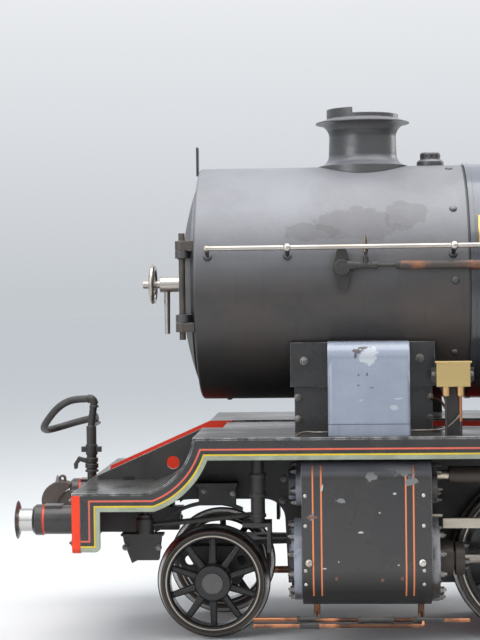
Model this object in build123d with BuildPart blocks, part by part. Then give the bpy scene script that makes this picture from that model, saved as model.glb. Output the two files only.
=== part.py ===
from build123d import *
from math import atan2, cos, pi, radians, sin, sqrt, tan
import os

os.makedirs("parts", exist_ok=True)

# A 15 inch gauge 2-8-2 steam locomotive, front towards -X, left side towards -Y.
# The origin is on the floor under the middle of the length, at the bottom of the wheel flanges.

# Driving dimensions, in millimetres
overall_length = 4300
overall_width = 970
buffer_reach = 185
beam_to_pony = 365
pony_to_drivers = 915
driver_spacing = 495
drivers_to_trailing = 760

flange_height = 12
pony_tread_r = 152.5
driver_tread_r = 222.5
back_to_back = 359
tyre_width = 57
tyre_depth = 24
axle_r = 32
crank_throw = 108
crankpin_r = 22
pin_clearance = 0.1
curved_seat_gap = 0.3

frame_gap = 268
frame_plate = 12
frame_top_z = 597
deck_plate = 6
lower_deck_top_z = 454
valance_depth = 61
valance_plate = 8

boiler_axis_z = 1023.5
smokebox_r = 343.5
smokebox_wall = 10
smokebox_length = 775
smokebox_overhang = 37
barrel_r = 347
barrel_length = 1420
firebox_length = 770

cylinder_y = 330
cylinder_z = 250
cylinder_start = 262
cylinder_length = 355
cylinder_r = 122
slide_bar_z = 335
slide_bar_height = 28
connecting_rod_length = 800
valve_y = 350
valve_z = 463
spindle_z = 485

cab_start = 2750
cab_length = 870
cab_plate = 8
cab_eaves_z = 1390
cab_roof_rise = 110

# Places worked out from them
front_x = -overall_length / 2
beam_x = front_x + buffer_reach
pony_x = beam_x + beam_to_pony
driver_x = [pony_x + pony_to_drivers + i * driver_spacing for i in range(4)]
main_x = driver_x[2]
trailing_x = driver_x[3] + drivers_to_trailing
rear_x = overall_length / 2
pony_z = pony_tread_r + flange_height
driver_z = driver_tread_r + flange_height
wheel_back_y = back_to_back / 2
wheel_face_y = wheel_back_y + tyre_width
frame_inner_y = frame_gap / 2
frame_outer_y = frame_inner_y + frame_plate
half_width = overall_width / 2
deck_top_z = frame_top_z + deck_plate
smokebox_x = pony_x - smokebox_overhang
barrel_x = smokebox_x + smokebox_length
firebox_x = barrel_x + barrel_length
cab_x = pony_x + cab_start
cab_end_x = cab_x + cab_length
block_x = pony_x + cylinder_start
block_end_x = block_x + cylinder_length
deck_bottom_z = lower_deck_top_z - deck_plate
link_x = pony_x + 1400
link_z = 430
weigh_x = link_x + 120
weigh_z = 563
weigh_r = 13
floor_plate = 22
cab_floor_z = deck_top_z + floor_plate
reach_rod_z = 560
reach_lever_x = cab_x + 210
reach_lever_y = 426
lever_plate = 10
lever_slot = (70, 16)
lever_mid_y = reach_lever_y + lever_plate / 2


def keep(builder, name):
    """Labels one finished sub-part and writes it to its own STEP file."""
    builder.part.label = name
    export_step(builder.part, f"parts/{name}.step")


def side(y):
    """A plane facing the left side at distance y from the centre line: local x is X, local y is Z."""
    return Plane(origin=(0, y, 0), x_dir=(1, 0, 0), z_dir=(0, -1, 0))


def across(x):
    """A plane across the locomotive: local x is Y, local y is Z, and it faces the rear."""
    return Plane(origin=(x, 0, 0), x_dir=(0, 1, 0), z_dir=(1, 0, 0))


def bar(x0, x1, y0, y1, z0, z1, mode=Mode.ADD):
    """A rectangular bar between two corners, for plates and straps."""
    with Locations(((x0 + x1) / 2, (y0 + y1) / 2, (z0 + z1) / 2)):
        Box(abs(x1 - x0), abs(y1 - y0), abs(z1 - z0), mode=mode)


def rod_along(start, end, radius, mode=Mode.ADD):
    """A round bar from start to end."""
    line = Vector(*end) - Vector(*start)
    with BuildSketch(Plane(origin=start, z_dir=line)) as section:
        Circle(radius)
    extrude(section.sketch, amount=line.length, mode=mode)


def polar(radius, angle):
    """A point on a circle seen from the left, at an angle in degrees up from the rear, as (X, Z)."""
    return radius * cos(radians(angle)), radius * sin(radians(angle))


# Main frames: two plates with the sloping front extension, the arch over the pony wheels and the horn gaps
horn_gap = 96
horn_top_z = 300
horn_bottom_z = 150
arch_z = 395
beam_plate = 23
front_slope = [(beam_x + beam_plate, 466), (pony_x - 31, deck_top_z), (pony_x + 40, deck_top_z)]
frame_rear_x = rear_x - 74
with BuildPart() as main_frames:
    with BuildSketch(side(-frame_inner_y)):
        with BuildLine():
            Polyline(
                [(beam_x + beam_plate, 300)]
                + front_slope
                + [
                    (pony_x + 40, frame_top_z),
                    (frame_rear_x, frame_top_z),
                    (frame_rear_x, 380),
                    (trailing_x - 300, 380),
                    (trailing_x - 330, horn_bottom_z),
                    (pony_x + 215, horn_bottom_z),
                    (pony_x + 205, arch_z),
                    (pony_x - 205, arch_z),
                    (pony_x - 225, 300),
                ],
                close=True,
            )
        make_face()
        for x in driver_x:
            with Locations((x, (horn_bottom_z + horn_top_z) / 2)):
                Rectangle(horn_gap, horn_top_z - horn_bottom_z, mode=Mode.SUBTRACT)
        with Locations((pony_x - 119, 503)):
            Circle(19, mode=Mode.SUBTRACT)
        with Locations((weigh_x, weigh_z)):
            Circle(weigh_r + curved_seat_gap, mode=Mode.SUBTRACT)
        for x in (driver_x[0], driver_x[1], driver_x[2]):
            with Locations((x + driver_spacing / 2, 460)):
                SlotOverall(230, 90, mode=Mode.SUBTRACT)
        corners = [v for v in vertices() if abs(v.Y - arch_z) < 1]
        fillet(corners, radius=60)
    extrude(amount=frame_plate)
    mirror(about=Plane.XZ)
keep(main_frames, "main_frames")

# Stretchers tie the frame plates together: name, start, end, bottom and top
stretchers = [
    ("front tie", -320, -305, 300, deck_bottom_z),
    ("pony pivot box", 300, 590, 330, 420),
    ("saddle box", 243, 629, 500, 597),
    ("motion stretcher", 1170, 1186, 330, 560),
    ("middle stretcher", 1690, 1706, 330, 560),
    ("firebox stretcher", 2215, 2231, 330, 560),
    ("trailing pivot box", 2700, 2800, 385, 450),
    ("drag box", 3560, 3638, 420, 560),
]
# The two trucks: name, axle place, pivot place and the height of the box that holds the pivot
trucks = [
    ("pony", pony_x, pony_x + 500, 330),
    ("trailing", trailing_x, trailing_x - 470, 385),
]
pivot_r = 22
pivot_bottom_z = 250
with BuildPart() as frame_stretchers:
    for _, start, end, bottom, top in stretchers:
        bar(pony_x + start, pony_x + end, -frame_inner_y, frame_inner_y, bottom, top)
    for _, _, pivot_x, pivot_top_z in trucks:
        rod_along((pivot_x, 0, pivot_bottom_z), (pivot_x, 0, pivot_top_z), pivot_r)
keep(frame_stretchers, "frame_stretchers")

# Front beam
beam_bottom_z = 288
beam_top_z = 454
buffer_y = 330
buffer_z = 362
with BuildPart() as front_beam:
    with BuildSketch(across(beam_x)):
        with Locations((0, (beam_bottom_z + beam_top_z - deck_plate) / 2)):
            Rectangle(overall_width, beam_top_z - deck_plate - beam_bottom_z)
    extrude(amount=beam_plate)
    fillet(front_beam.edges().filter_by(Axis.X).group_by(Axis.Z)[0], radius=18)
keep(front_beam, "front_beam")

# Front buffers: stock with its collar and flat-topped pad, ram and slightly domed head
stock_end = 132
collar_r = 43.5
ram_r = 32
pad_y = (buffer_y - 24, buffer_y + 24)
with BuildPart() as front_buffers:
    with BuildSketch(Plane(origin=(beam_x, -buffer_y, buffer_z), x_dir=(1, 0, 0), z_dir=(0, -1, 0))):
        with BuildLine():
            Polyline(
                (0, 0), (0, 52), (-8, 52), (-8, 40.5), (-104, 40.5),
                (-104, collar_r), (8 - stock_end, collar_r), (-stock_end, 37), (-stock_end, ram_r),
                (16 - buffer_reach, ram_r), (8 - buffer_reach, 54),
            )
            TangentArc((-buffer_reach, 0), (8 - buffer_reach, 54), tangent=(0, 1))
            Line((-buffer_reach, 0), (0, 0))
        make_face()
    revolve(axis=Axis((beam_x, -buffer_y, buffer_z), (1, 0, 0)))
    bar(beam_x - 100, beam_x - 48, -pad_y[1], -pad_y[0], buffer_z + 10, buffer_z + collar_r)
    mirror(about=Plane.XZ)
keep(front_buffers, "front_buffers")

# Centre coupler: boss plate on the beam, shank, leaning hook and the bored lug on top of it
coupler_z = 375
hook_width = 52
shank_width = 36
coupler_boss_plate = 14
lug_x = beam_x - 105
lug_z = 442
lug_r = 11
lug_bore_r = 5
lug_plate = 14
with BuildPart() as front_coupler:
    with BuildSketch(across(beam_x)):
        with Locations((0, coupler_z)):
            RectangleRounded(110, 90, 12)
    extrude(amount=-coupler_boss_plate)
    shank_x = beam_x - coupler_boss_plate
    with BuildSketch(side(-shank_width / 2)):
        with BuildLine():
            Polyline(
                (shank_x, coupler_z - 32), (shank_x, coupler_z + 28), (beam_x - 90, coupler_z + 30),
                (beam_x - 130, coupler_z + 8), (beam_x - 134, coupler_z - 33), close=True,
            )
        make_face()
    extrude(amount=-shank_width)
    with BuildSketch(side(-hook_width / 2)):
        with BuildLine():
            ThreePointArc(
                (beam_x - 85, coupler_z + 36), (beam_x - 81, coupler_z + 47), (beam_x - 89, coupler_z + 57)
            )
            Line((beam_x - 89, coupler_z + 57), (beam_x - 104, coupler_z + 59))
            TangentArc(
                (beam_x - 104, coupler_z + 59), (beam_x - 165, coupler_z - 4), tangent=(-15, 1)
            )
            Polyline(
                (beam_x - 165, coupler_z - 4), (beam_x - 158, coupler_z - 27),
                (beam_x - 138, coupler_z - 36), (beam_x - 126, coupler_z - 34),
                (beam_x - 116, coupler_z - 1),
            )
            TangentArc(
                (beam_x - 116, coupler_z - 1), (beam_x - 85, coupler_z + 36), tangent=(10, 33)
            )
        make_face()
    extrude(amount=-hook_width)
    with BuildSketch(side(-lug_plate / 2)):
        with Locations((lug_x, lug_z)):
            Circle(lug_r)
        with Locations((lug_x, lug_z - 10)):
            Rectangle(2 * lug_r, 20)
        with Locations((lug_x, lug_z)):
            Circle(lug_bore_r, mode=Mode.SUBTRACT)
    extrude(amount=-lug_plate)
keep(front_coupler, "front_coupler")

# Footplating: the low deck at the front, the concave rise and the boards beside the boiler
rise_start = -168
rise_end = (-31, deck_top_z)
rise_through = (-72, 510)
deck_end_x = cab_end_x
saddle_x = pony_x + 243
well_end_x = pony_x + 30
well_top_z = deck_top_z - 4
with BuildPart() as footplating:
    with BuildSketch(side(-half_width)):
        with BuildLine():
            Line((beam_x, lower_deck_top_z), (pony_x + rise_start, lower_deck_top_z))
            ThreePointArc(
                (pony_x + rise_start, lower_deck_top_z),
                (pony_x + rise_through[0], rise_through[1]),
                (pony_x + rise_end[0], deck_top_z),
            )
            Line((pony_x + rise_end[0], deck_top_z), (deck_end_x, deck_top_z))
            Line((deck_end_x, deck_top_z), (deck_end_x, frame_top_z))
            Line((deck_end_x, frame_top_z), (pony_x + rise_end[0] + 5, frame_top_z))
            ThreePointArc(
                (pony_x + rise_end[0] + 5, frame_top_z),
                (pony_x + rise_through[0] + 4.5, rise_through[1] - 4),
                (pony_x + rise_start, deck_bottom_z),
            )
            Line((pony_x + rise_start, deck_bottom_z), (beam_x, deck_bottom_z))
            Line((beam_x, deck_bottom_z), (beam_x, lower_deck_top_z))
        make_face()
    extrude(amount=-(half_width - frame_outer_y - 0.5))
    mirror(about=Plane.XZ)
    bar(beam_x, pony_x - 350, -half_width, half_width, deck_bottom_z, lower_deck_top_z)
    well_y = frame_inner_y - curved_seat_gap
    bar(pony_x - 350, well_end_x, -well_y, well_y, deck_bottom_z, lower_deck_top_z)
    bar(well_end_x - deck_plate, well_end_x, -well_y, well_y, lower_deck_top_z, well_top_z)
    bar(well_end_x, saddle_x - 1, -well_y, well_y, well_top_z - deck_plate, well_top_z)
    with Locations((reach_lever_x, lever_mid_y, deck_top_z - deck_plate / 2)):
        Box(*lever_slot, deck_plate + 2, mode=Mode.SUBTRACT)
keep(footplating, "footplating")

# Valances: the edge plates whose lower edge runs parallel to the footplate's line
with BuildPart() as valances:
    with BuildSketch(side(-half_width + valance_plate)):
        with BuildLine():
            Line(
                (beam_x + beam_plate, deck_bottom_z),
                (pony_x + rise_start, deck_bottom_z),
            )
            ThreePointArc(
                (pony_x + rise_start, deck_bottom_z),
                (pony_x + rise_through[0] + 4.5, rise_through[1] - 4),
                (pony_x + rise_end[0] + 5, frame_top_z),
            )
            Polyline(
                (pony_x + rise_end[0] + 5, frame_top_z),
                (deck_end_x, frame_top_z),
                (deck_end_x, deck_top_z - valance_depth),
                (pony_x + 9, deck_top_z - valance_depth),
            )
            ThreePointArc(
                (pony_x + 9, deck_top_z - valance_depth),
                (pony_x - 38, 468),
                (pony_x - 138, 403),
            )
            Polyline(
                (pony_x - 138, 403),
                (pony_x - 287, 403),
                (pony_x - 287, 293),
                (beam_x + beam_plate, 293),
                (beam_x + beam_plate, deck_bottom_z),
            )
        make_face()
        corner = [v for v in vertices() if abs(v.Y - 293) < 1 and v.X > pony_x - 300]
        fillet(corner, radius=14)
    extrude(amount=valance_plate)
    mirror(about=Plane.XZ)
keep(valances, "valances")

# Smokebox: a rolled shell with the ring at the front that the door closes on
door_r = 285
door_opening_r = 262
with BuildPart() as smokebox:
    with BuildSketch(across(smokebox_x)):
        with Locations((0, boiler_axis_z)):
            Circle(smokebox_r)
            Circle(smokebox_r - smokebox_wall, mode=Mode.SUBTRACT)
    extrude(amount=smokebox_length)
    with BuildSketch(across(smokebox_x)):
        with Locations((0, boiler_axis_z)):
            Circle(smokebox_r - smokebox_wall)
            Circle(door_opening_r, mode=Mode.SUBTRACT)
    extrude(amount=14)
    fillet(
        smokebox.edges().filter_by(GeomType.CIRCLE).group_by(Axis.X)[0].sort_by(SortBy.RADIUS)[-1],
        radius=8,
    )
    with BuildSketch(Plane.XY.offset(boiler_axis_z)):
        with Locations((smokebox_x + 483, 0)):
            Circle(80)
    extrude(amount=smokebox_r + 20, mode=Mode.SUBTRACT)
keep(smokebox, "smokebox")

# Saddle: the casting between the frames and the smokebox, with the bolted side flanges
saddle_end_x = pony_x + 629
saddle_y = 300
flange_top_z = 855
with BuildPart() as smokebox_saddle:
    with BuildSketch(across(saddle_x)):
        with Locations((0, (deck_top_z + 735) / 2)):
            Rectangle(2 * saddle_y, 735 - deck_top_z)
    extrude(amount=saddle_end_x - saddle_x)
    for s in (-1, 1):
        bar(saddle_x - 11, saddle_end_x + 8, s * saddle_y, s * (saddle_y + 12), 730, flange_top_z)
        bar(saddle_x, saddle_end_x, s * (saddle_y - 30), s * saddle_y, 735, flange_top_z)
    with BuildSketch(across(saddle_x - 20)):
        with Locations((0, boiler_axis_z)):
            Circle(smokebox_r + curved_seat_gap)
    extrude(amount=saddle_end_x - saddle_x + 40, mode=Mode.SUBTRACT)
keep(smokebox_saddle, "smokebox_saddle")

# Steam pipe covers: the bright rounded casings outside the saddle
cover_x = pony_x + 337
cover_end_x = pony_x + 561
cover_top_z = 858
with BuildPart() as steam_pipe_covers:
    with BuildSketch(across(cover_x)):
        with BuildLine():
            Polyline(
                (-saddle_y - 12, deck_top_z),
                (-460, deck_top_z),
                (-460, 640),
                (-440, 812),
            )
            Line((-440, 812), (-440, 820))
            ThreePointArc((-440, 820), (-428, 847), (-400, cover_top_z))
            Polyline((-400, cover_top_z), (-saddle_y - 12, cover_top_z), (-saddle_y - 12, deck_top_z))
        make_face()
    extrude(amount=cover_end_x - cover_x)
    long_edges = steam_pipe_covers.edges().filter_by(lambda e: e.length > 150)
    outer_edges = long_edges.filter_by(lambda e: abs(e.center().Y + 450) < 1)
    fillet(outer_edges, radius=14)
    mirror(about=Plane.XZ)
keep(steam_pipe_covers, "steam_pipe_covers")

# Chimney: saddle skirt, barrel, lip and the raised front half of the rim
chimney_x = smokebox_x + 483
chimney_top_z = 1520
chimney_bore_r = 78
skirt_z = boiler_axis_z + sqrt(smokebox_r**2 - 129.5**2) - 20
with BuildPart() as chimney:
    with BuildSketch(Plane(origin=(chimney_x, 0, 0), x_dir=(1, 0, 0), z_dir=(0, -1, 0))):
        with BuildLine():
            Polyline((chimney_bore_r, skirt_z), (134, skirt_z), (131, 1368))
            ThreePointArc((131, 1368), (108, 1381), (101, 1398))
            Line((101, 1398), (99, 1452))
            ThreePointArc((99, 1452), (107, 1478), (139, 1494))
            Polyline(
                (139, 1494), (139, 1497), (106, 1508), (106, chimney_top_z),
                (chimney_bore_r, chimney_top_z), (chimney_bore_r, skirt_z),
            )
        make_face()
    revolve(axis=Axis((chimney_x, 0, 0), (0, 0, 1)))
    with BuildSketch(Plane.XY.offset(chimney_top_z)):
        with Locations((chimney_x, 0)):
            Circle(106)
            Circle(96, mode=Mode.SUBTRACT)
            with Locations((53, 0)):
                Rectangle(106 + 60, 260, mode=Mode.SUBTRACT)
    extrude(amount=16)
    with BuildSketch(across(chimney_x - 200)):
        with Locations((0, boiler_axis_z)):
            Circle(smokebox_r + curved_seat_gap)
    extrude(amount=400, mode=Mode.SUBTRACT)
keep(chimney, "chimney")

# Anti-vacuum valve behind the chimney
snifter_x = smokebox_x + 683
with BuildPart() as snifting_valve:
    with BuildSketch(Plane(origin=(snifter_x, 0, 0), x_dir=(1, 0, 0), z_dir=(0, -1, 0))):
        with BuildLine():
            Polyline(
                (0, 1350), (40, 1350), (40, 1378), (34, 1384), (30, 1384), (30, 1402), (26, 1406), (0, 1406),
                close=True,
            )
        make_face()
    revolve(axis=Axis((snifter_x, 0, 0), (0, 0, 1)))
    with BuildSketch(across(snifter_x - 60)):
        with Locations((0, boiler_axis_z)):
            Circle(smokebox_r + curved_seat_gap)
    extrude(amount=120, mode=Mode.SUBTRACT)
keep(snifting_valve, "snifting_valve")

# Blast pipe inside the smokebox, under the chimney
with BuildPart() as blast_pipe:
    with BuildSketch(Plane(origin=(chimney_x, 0, 0), x_dir=(1, 0, 0), z_dir=(0, -1, 0))):
        with BuildLine():
            Polyline((24, 640), (70, 640), (70, 716), (44, 730), (32, 880), (24, 880), (24, 640))
        make_face()
    revolve(axis=Axis((chimney_x, 0, 0), (0, 0, 1)))
    with BuildSketch(across(chimney_x - 100)):
        with Locations((0, boiler_axis_z)):
            Circle(smokebox_r - smokebox_wall - curved_seat_gap)
    extrude(amount=200, mode=Mode.INTERSECT)
keep(blast_pipe, "blast_pipe")

# Smokebox door: dished plate with two hinge straps, turning on the pin at the left
door_rim_x = smokebox_x - 12
hinge_y = -300
hinge_x = smokebox_x - 34
strap_z = [boiler_axis_z + 83, boiler_axis_z - 98]
dish = 48
with BuildPart() as smokebox_door:
    with BuildSketch(Plane(origin=(0, 0, boiler_axis_z), x_dir=(1, 0, 0), z_dir=(0, -1, 0))):
        with BuildLine():
            Polyline((smokebox_x - 0.5, 0), (smokebox_x - 0.5, door_r), (door_rim_x, door_r))
            TangentArc((door_rim_x - dish, 0), (door_rim_x, door_r), tangent=(0, 1))
            Line((door_rim_x - dish, 0), (smokebox_x - 0.5, 0))
        make_face()
    revolve(axis=Axis((0, 0, boiler_axis_z), (1, 0, 0)))
    with BuildSketch(Plane(origin=(0, 0, boiler_axis_z), x_dir=(1, 0, 0), z_dir=(0, -1, 0))):
        with BuildLine():
            Polyline((smokebox_x, 0), (smokebox_x, door_r - 40))
            TangentArc((smokebox_x - dish + 2, 0), (smokebox_x, door_r - 40), tangent=(0, 1))
            Line((smokebox_x - dish + 2, 0), (smokebox_x, 0))
        make_face()
    revolve(axis=Axis((0, 0, boiler_axis_z), (1, 0, 0)), mode=Mode.SUBTRACT)
    for z in strap_z:
        with BuildSketch(Plane.XY.offset(z - 11)):
            with BuildLine():
                Polyline(
                    (hinge_x - 6, hinge_y + 12), (hinge_x - 16, hinge_y + 20), (door_rim_x - dish - 4, -90),
                    (door_rim_x - dish - 6, 0), (door_rim_x - dish + 2, 0), (door_rim_x - 40, -150),
                    (door_rim_x - 16, -230), (smokebox_x - 2, -262), (hinge_x + 14, hinge_y + 14),
                    (hinge_x - 6, hinge_y + 12),
                )
            make_face()
        extrude(amount=22)
        with BuildSketch(Plane.XY.offset(z - 11)):
            with Locations((hinge_x, hinge_y)):
                Circle(19)
        extrude(amount=22)
    with BuildSketch(Plane.XY.offset(strap_z[1] - 40)):
        with Locations((hinge_x, hinge_y)):
            Circle(9 + pin_clearance)
    extrude(amount=300, mode=Mode.SUBTRACT)
    with BuildSketch(across(door_rim_x - dish - 40)):
        with Locations((0, boiler_axis_z)):
            Circle(12 + pin_clearance)
    extrude(amount=80, mode=Mode.SUBTRACT)
keep(smokebox_door, "smokebox_door")

# Hinge pin and the lugs that carry it on the smokebox ring
lug_height = 26
with BuildPart() as door_hinge:
    with BuildSketch(Plane.XY.offset(strap_z[1] - 60)):
        with Locations((hinge_x, hinge_y)):
            Circle(9)
    extrude(amount=strap_z[0] - strap_z[1] + 120)
    for z in (strap_z[0] + 12, strap_z[1] - 12 - lug_height):
        with BuildSketch(Plane.XY.offset(z)):
            with Locations((hinge_x, hinge_y)):
                Circle(19)
            with BuildLine():
                Polyline(
                    (hinge_x - 6, hinge_y - 18), (smokebox_x, hinge_y - 18), (smokebox_x, hinge_y + 8),
                    (hinge_x + 14, hinge_y + 8), (hinge_x - 6, hinge_y - 18),
                )
            make_face()
        extrude(amount=lug_height)
keep(door_hinge, "door_hinge")

# Dart: the spindle, hand wheel and locking lever in the middle of the door
dart_end_x = door_rim_x - dish - 120
with BuildPart() as door_dart:
    rod_along((dart_end_x, 0, boiler_axis_z), (smokebox_x + 60, 0, boiler_axis_z), 12)
    rod_along((dart_end_x + 52, 0, boiler_axis_z), (door_rim_x - dish - 0.3, 0, boiler_axis_z), 24)
    with BuildSketch(Plane(origin=(dart_end_x + 30, 0, boiler_axis_z), x_dir=(1, 0, 0), z_dir=(0, -1, 0))):
        with Locations((0, 54)):
            Circle(8)
    revolve(axis=Axis((0, 0, boiler_axis_z), (1, 0, 0)))
    with Locations(Plane(origin=(dart_end_x + 30, 0, boiler_axis_z), z_dir=(1, 0, 0))):
        with PolarLocations(0, 3):
            with Locations((28, 0)):
                Box(54, 9, 8)
    with BuildSketch(Plane.XY.offset(boiler_axis_z - 148)):
        with Locations((dart_end_x + 72, 0)):
            Circle(8)
    extrude(amount=140, taper=-0.7)
keep(door_dart, "door_dart")

# Front handrail round the door, and the lamp iron on top
with BuildPart() as front_handrail:
    ring_r = 315
    rail_x = smokebox_x - 46
    with BuildSketch(Plane(origin=(rail_x, 0, boiler_axis_z + ring_r), x_dir=(1, 0, 0), z_dir=(0, -1, 0))):
        Circle(6)
    revolve(axis=Axis((0, 0, boiler_axis_z), (1, 0, 0)), revolution_arc=48)
    mirror(about=Plane.XZ)
    for angle in (-44, 44):
        post_y = ring_r * sin(radians(angle))
        post_z = boiler_axis_z + ring_r * cos(radians(angle))
        rod_along((rail_x - 4, post_y, post_z), (smokebox_x, post_y, post_z), 8)
    bar(smokebox_x - 14, smokebox_x - 8, -16, 16, 1347, 1432)
    bar(smokebox_x - 14, smokebox_x, -16, 16, 1347, 1353)
keep(front_handrail, "front_handrail_and_lamp_iron")

# Boiler barrel in its cladding, with the thin bands round it
band_width = 14
band_plate = 2
band_count = 4
with BuildPart() as boiler_barrel:
    with BuildSketch(across(barrel_x)):
        with Locations((0, boiler_axis_z)):
            Circle(barrel_r)
    extrude(amount=barrel_length)
    for i in range(band_count):
        band_x = barrel_x + i * (barrel_length - band_width) / (band_count - 1)
        with BuildSketch(across(band_x)):
            with Locations((0, boiler_axis_z)):
                Circle(barrel_r + band_plate)
        extrude(amount=band_width)
keep(boiler_barrel, "boiler_barrel")

# Firebox: round top and straight sides down to the footplating, running into the cab
firebox_r = 352
with BuildPart() as firebox:
    with BuildSketch(across(firebox_x)):
        with BuildLine():
            Line((-firebox_r, deck_top_z), (-firebox_r, boiler_axis_z))
            ThreePointArc(
                (-firebox_r, boiler_axis_z), (0, boiler_axis_z + firebox_r), (firebox_r, boiler_axis_z)
            )
            Line((firebox_r, boiler_axis_z), (firebox_r, deck_top_z))
            Line((firebox_r, deck_top_z), (-firebox_r, deck_top_z))
        make_face()
    extrude(amount=firebox_length)
    fillet(firebox.edges().filter_by(Axis.Z), radius=20)
keep(firebox, "firebox")

# Ashpan below the firebox, between the frames
with BuildPart() as ashpan:
    with BuildSketch(side(-frame_inner_y + 3)):
        with BuildLine():
            Polyline(
                (firebox_x + 150, deck_top_z), (firebox_x + 150, 480), (firebox_x + 260, 400),
                (firebox_x + 560, 470), (firebox_x + 690, 470), (firebox_x + 690, deck_top_z),
                close=True,
            )
        make_face()
    extrude(amount=-2 * (frame_inner_y - 3))
keep(ashpan, "ashpan")

# Steam dome with its flared skirt
dome_x = pony_x + 1440
dome_r = 132
dome_top_z = 1490
dome_base_z = boiler_axis_z + sqrt(barrel_r**2 - (dome_r + 26) ** 2) - 8
with BuildPart() as steam_dome:
    with BuildSketch(Plane(origin=(dome_x, 0, 0), x_dir=(1, 0, 0), z_dir=(0, -1, 0))):
        with BuildLine():
            Polyline((0, dome_base_z), (dome_r + 26, dome_base_z), (dome_r + 24, dome_base_z + 30))
            TangentArc((dome_r, dome_base_z + 62), (dome_r + 24, dome_base_z + 30), tangent=(0, -1))
            Line((dome_r, dome_base_z + 62), (dome_r, dome_top_z - 70))
            TangentArc((0, dome_top_z), (dome_r, dome_top_z - 70), tangent=(1, 0))
            Line((0, dome_top_z), (0, dome_base_z))
        make_face()
    revolve(axis=Axis((dome_x, 0, 0), (0, 0, 1)))
    with BuildSketch(across(dome_x - 250)):
        with Locations((0, boiler_axis_z)):
            Circle(barrel_r + curved_seat_gap)
    extrude(amount=500, mode=Mode.SUBTRACT)
keep(steam_dome, "steam_dome")

# Two safety valves and the whistle on the firebox top
valve_x = firebox_x + 330
firebox_top_z = boiler_axis_z + firebox_r
with BuildPart() as safety_valves:
    for y in (-46, 46):
        with BuildSketch(Plane(origin=(valve_x, y, 0), x_dir=(1, 0, 0), z_dir=(0, -1, 0))):
            with BuildLine():
                Polyline(
                    (0, firebox_top_z - 30), (30, firebox_top_z - 30), (30, firebox_top_z + 22),
                    (20, firebox_top_z + 34), (20, firebox_top_z + 80), (25, firebox_top_z + 86),
                    (25, firebox_top_z + 108), (0, firebox_top_z + 112), (0, firebox_top_z - 30),
                )
            make_face()
        revolve(axis=Axis((valve_x, y, 0), (0, 0, 1)))
    with BuildSketch(Plane(origin=(valve_x + 110, 0, 0), x_dir=(1, 0, 0), z_dir=(0, -1, 0))):
        with BuildLine():
            Polyline(
                (0, firebox_top_z - 30), (12, firebox_top_z - 30), (12, firebox_top_z + 40),
                (22, firebox_top_z + 46), (22, firebox_top_z + 104), (10, firebox_top_z + 116),
                (0, firebox_top_z + 118), (0, firebox_top_z - 30),
            )
        make_face()
    revolve(axis=Axis((valve_x + 110, 0, 0), (0, 0, 1)))
    with BuildSketch(across(valve_x - 100)):
        with Locations((0, boiler_axis_z)):
            Circle(firebox_r + curved_seat_gap)
    extrude(amount=400, mode=Mode.SUBTRACT)
keep(safety_valves, "safety_valves_and_whistle")

# Handrails along the boiler: balls on stems that slope down to the shell, and a turned front end
rail_z = 1120
rail_y = 384
rail_r = 7
rail_start_x = smokebox_x + 38
ball_r = 12.5
end_ball_r = 8.5
stem_r = 6.5
end_stem_r = 6
stem_foot_y = -smokebox_r + 20
stem_foot_z = rail_z - 24
knob_first = 229
knob_spacing = 460
knob_count = 6
shells = [
    # start, end, radius
    (smokebox_x - 1, barrel_x, smokebox_r),
    (barrel_x, firebox_x, barrel_r),
    (firebox_x, cab_x, firebox_r),
]


def rail_ball(x, radius):
    """A turned ball round the near handrail."""
    with BuildSketch(Plane(origin=(x, -rail_y, rail_z), x_dir=(1, 0, 0), z_dir=(0, -1, 0))) as ball:
        with BuildLine():
            ThreePointArc((-radius, 0), (0, radius), (radius, 0))
            Line((radius, 0), (-radius, 0))
        make_face()
    revolve(ball.sketch, axis=Axis((x, -rail_y, rail_z), (1, 0, 0)))


with BuildPart() as side_handrails:
    rod_along((rail_start_x, -rail_y, rail_z), (cab_x, -rail_y, rail_z), rail_r)
    for i in range(knob_count):
        knob_x = pony_x + knob_first + i * knob_spacing
        rail_ball(knob_x, ball_r)
        rod_along((knob_x, -rail_y, rail_z), (knob_x, stem_foot_y, stem_foot_z), stem_r)
    rail_ball(rail_start_x + 4, end_ball_r)
    rod_along(
        (rail_start_x + 4, -rail_y, rail_z), (rail_start_x + 4, stem_foot_y, stem_foot_z), end_stem_r
    )
    for start, end, shell_r in shells:
        with BuildSketch(across(start)) as shell:
            with Locations((0, boiler_axis_z)):
                Circle(shell_r + curved_seat_gap)
        extrude(shell.sketch, amount=end - start, mode=Mode.SUBTRACT)
    mirror(about=Plane.XZ)
keep(side_handrails, "side_handrails")

# Blank brass-edged nameplates on the barrel sides
plate_x = pony_x + 760
with BuildPart() as nameplates:
    bar(plate_x, plate_x + 360, -barrel_r - 4, -barrel_r + 60, 1128, 1206)
    mirror(about=Plane.XZ)
    with BuildSketch(across(plate_x - 20)):
        with Locations((0, boiler_axis_z)):
            Circle(barrel_r + 400)
            Circle(barrel_r + 7, mode=Mode.SUBTRACT)
            Circle(barrel_r + curved_seat_gap)
    extrude(amount=400, mode=Mode.SUBTRACT)
keep(nameplates, "nameplates")

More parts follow.
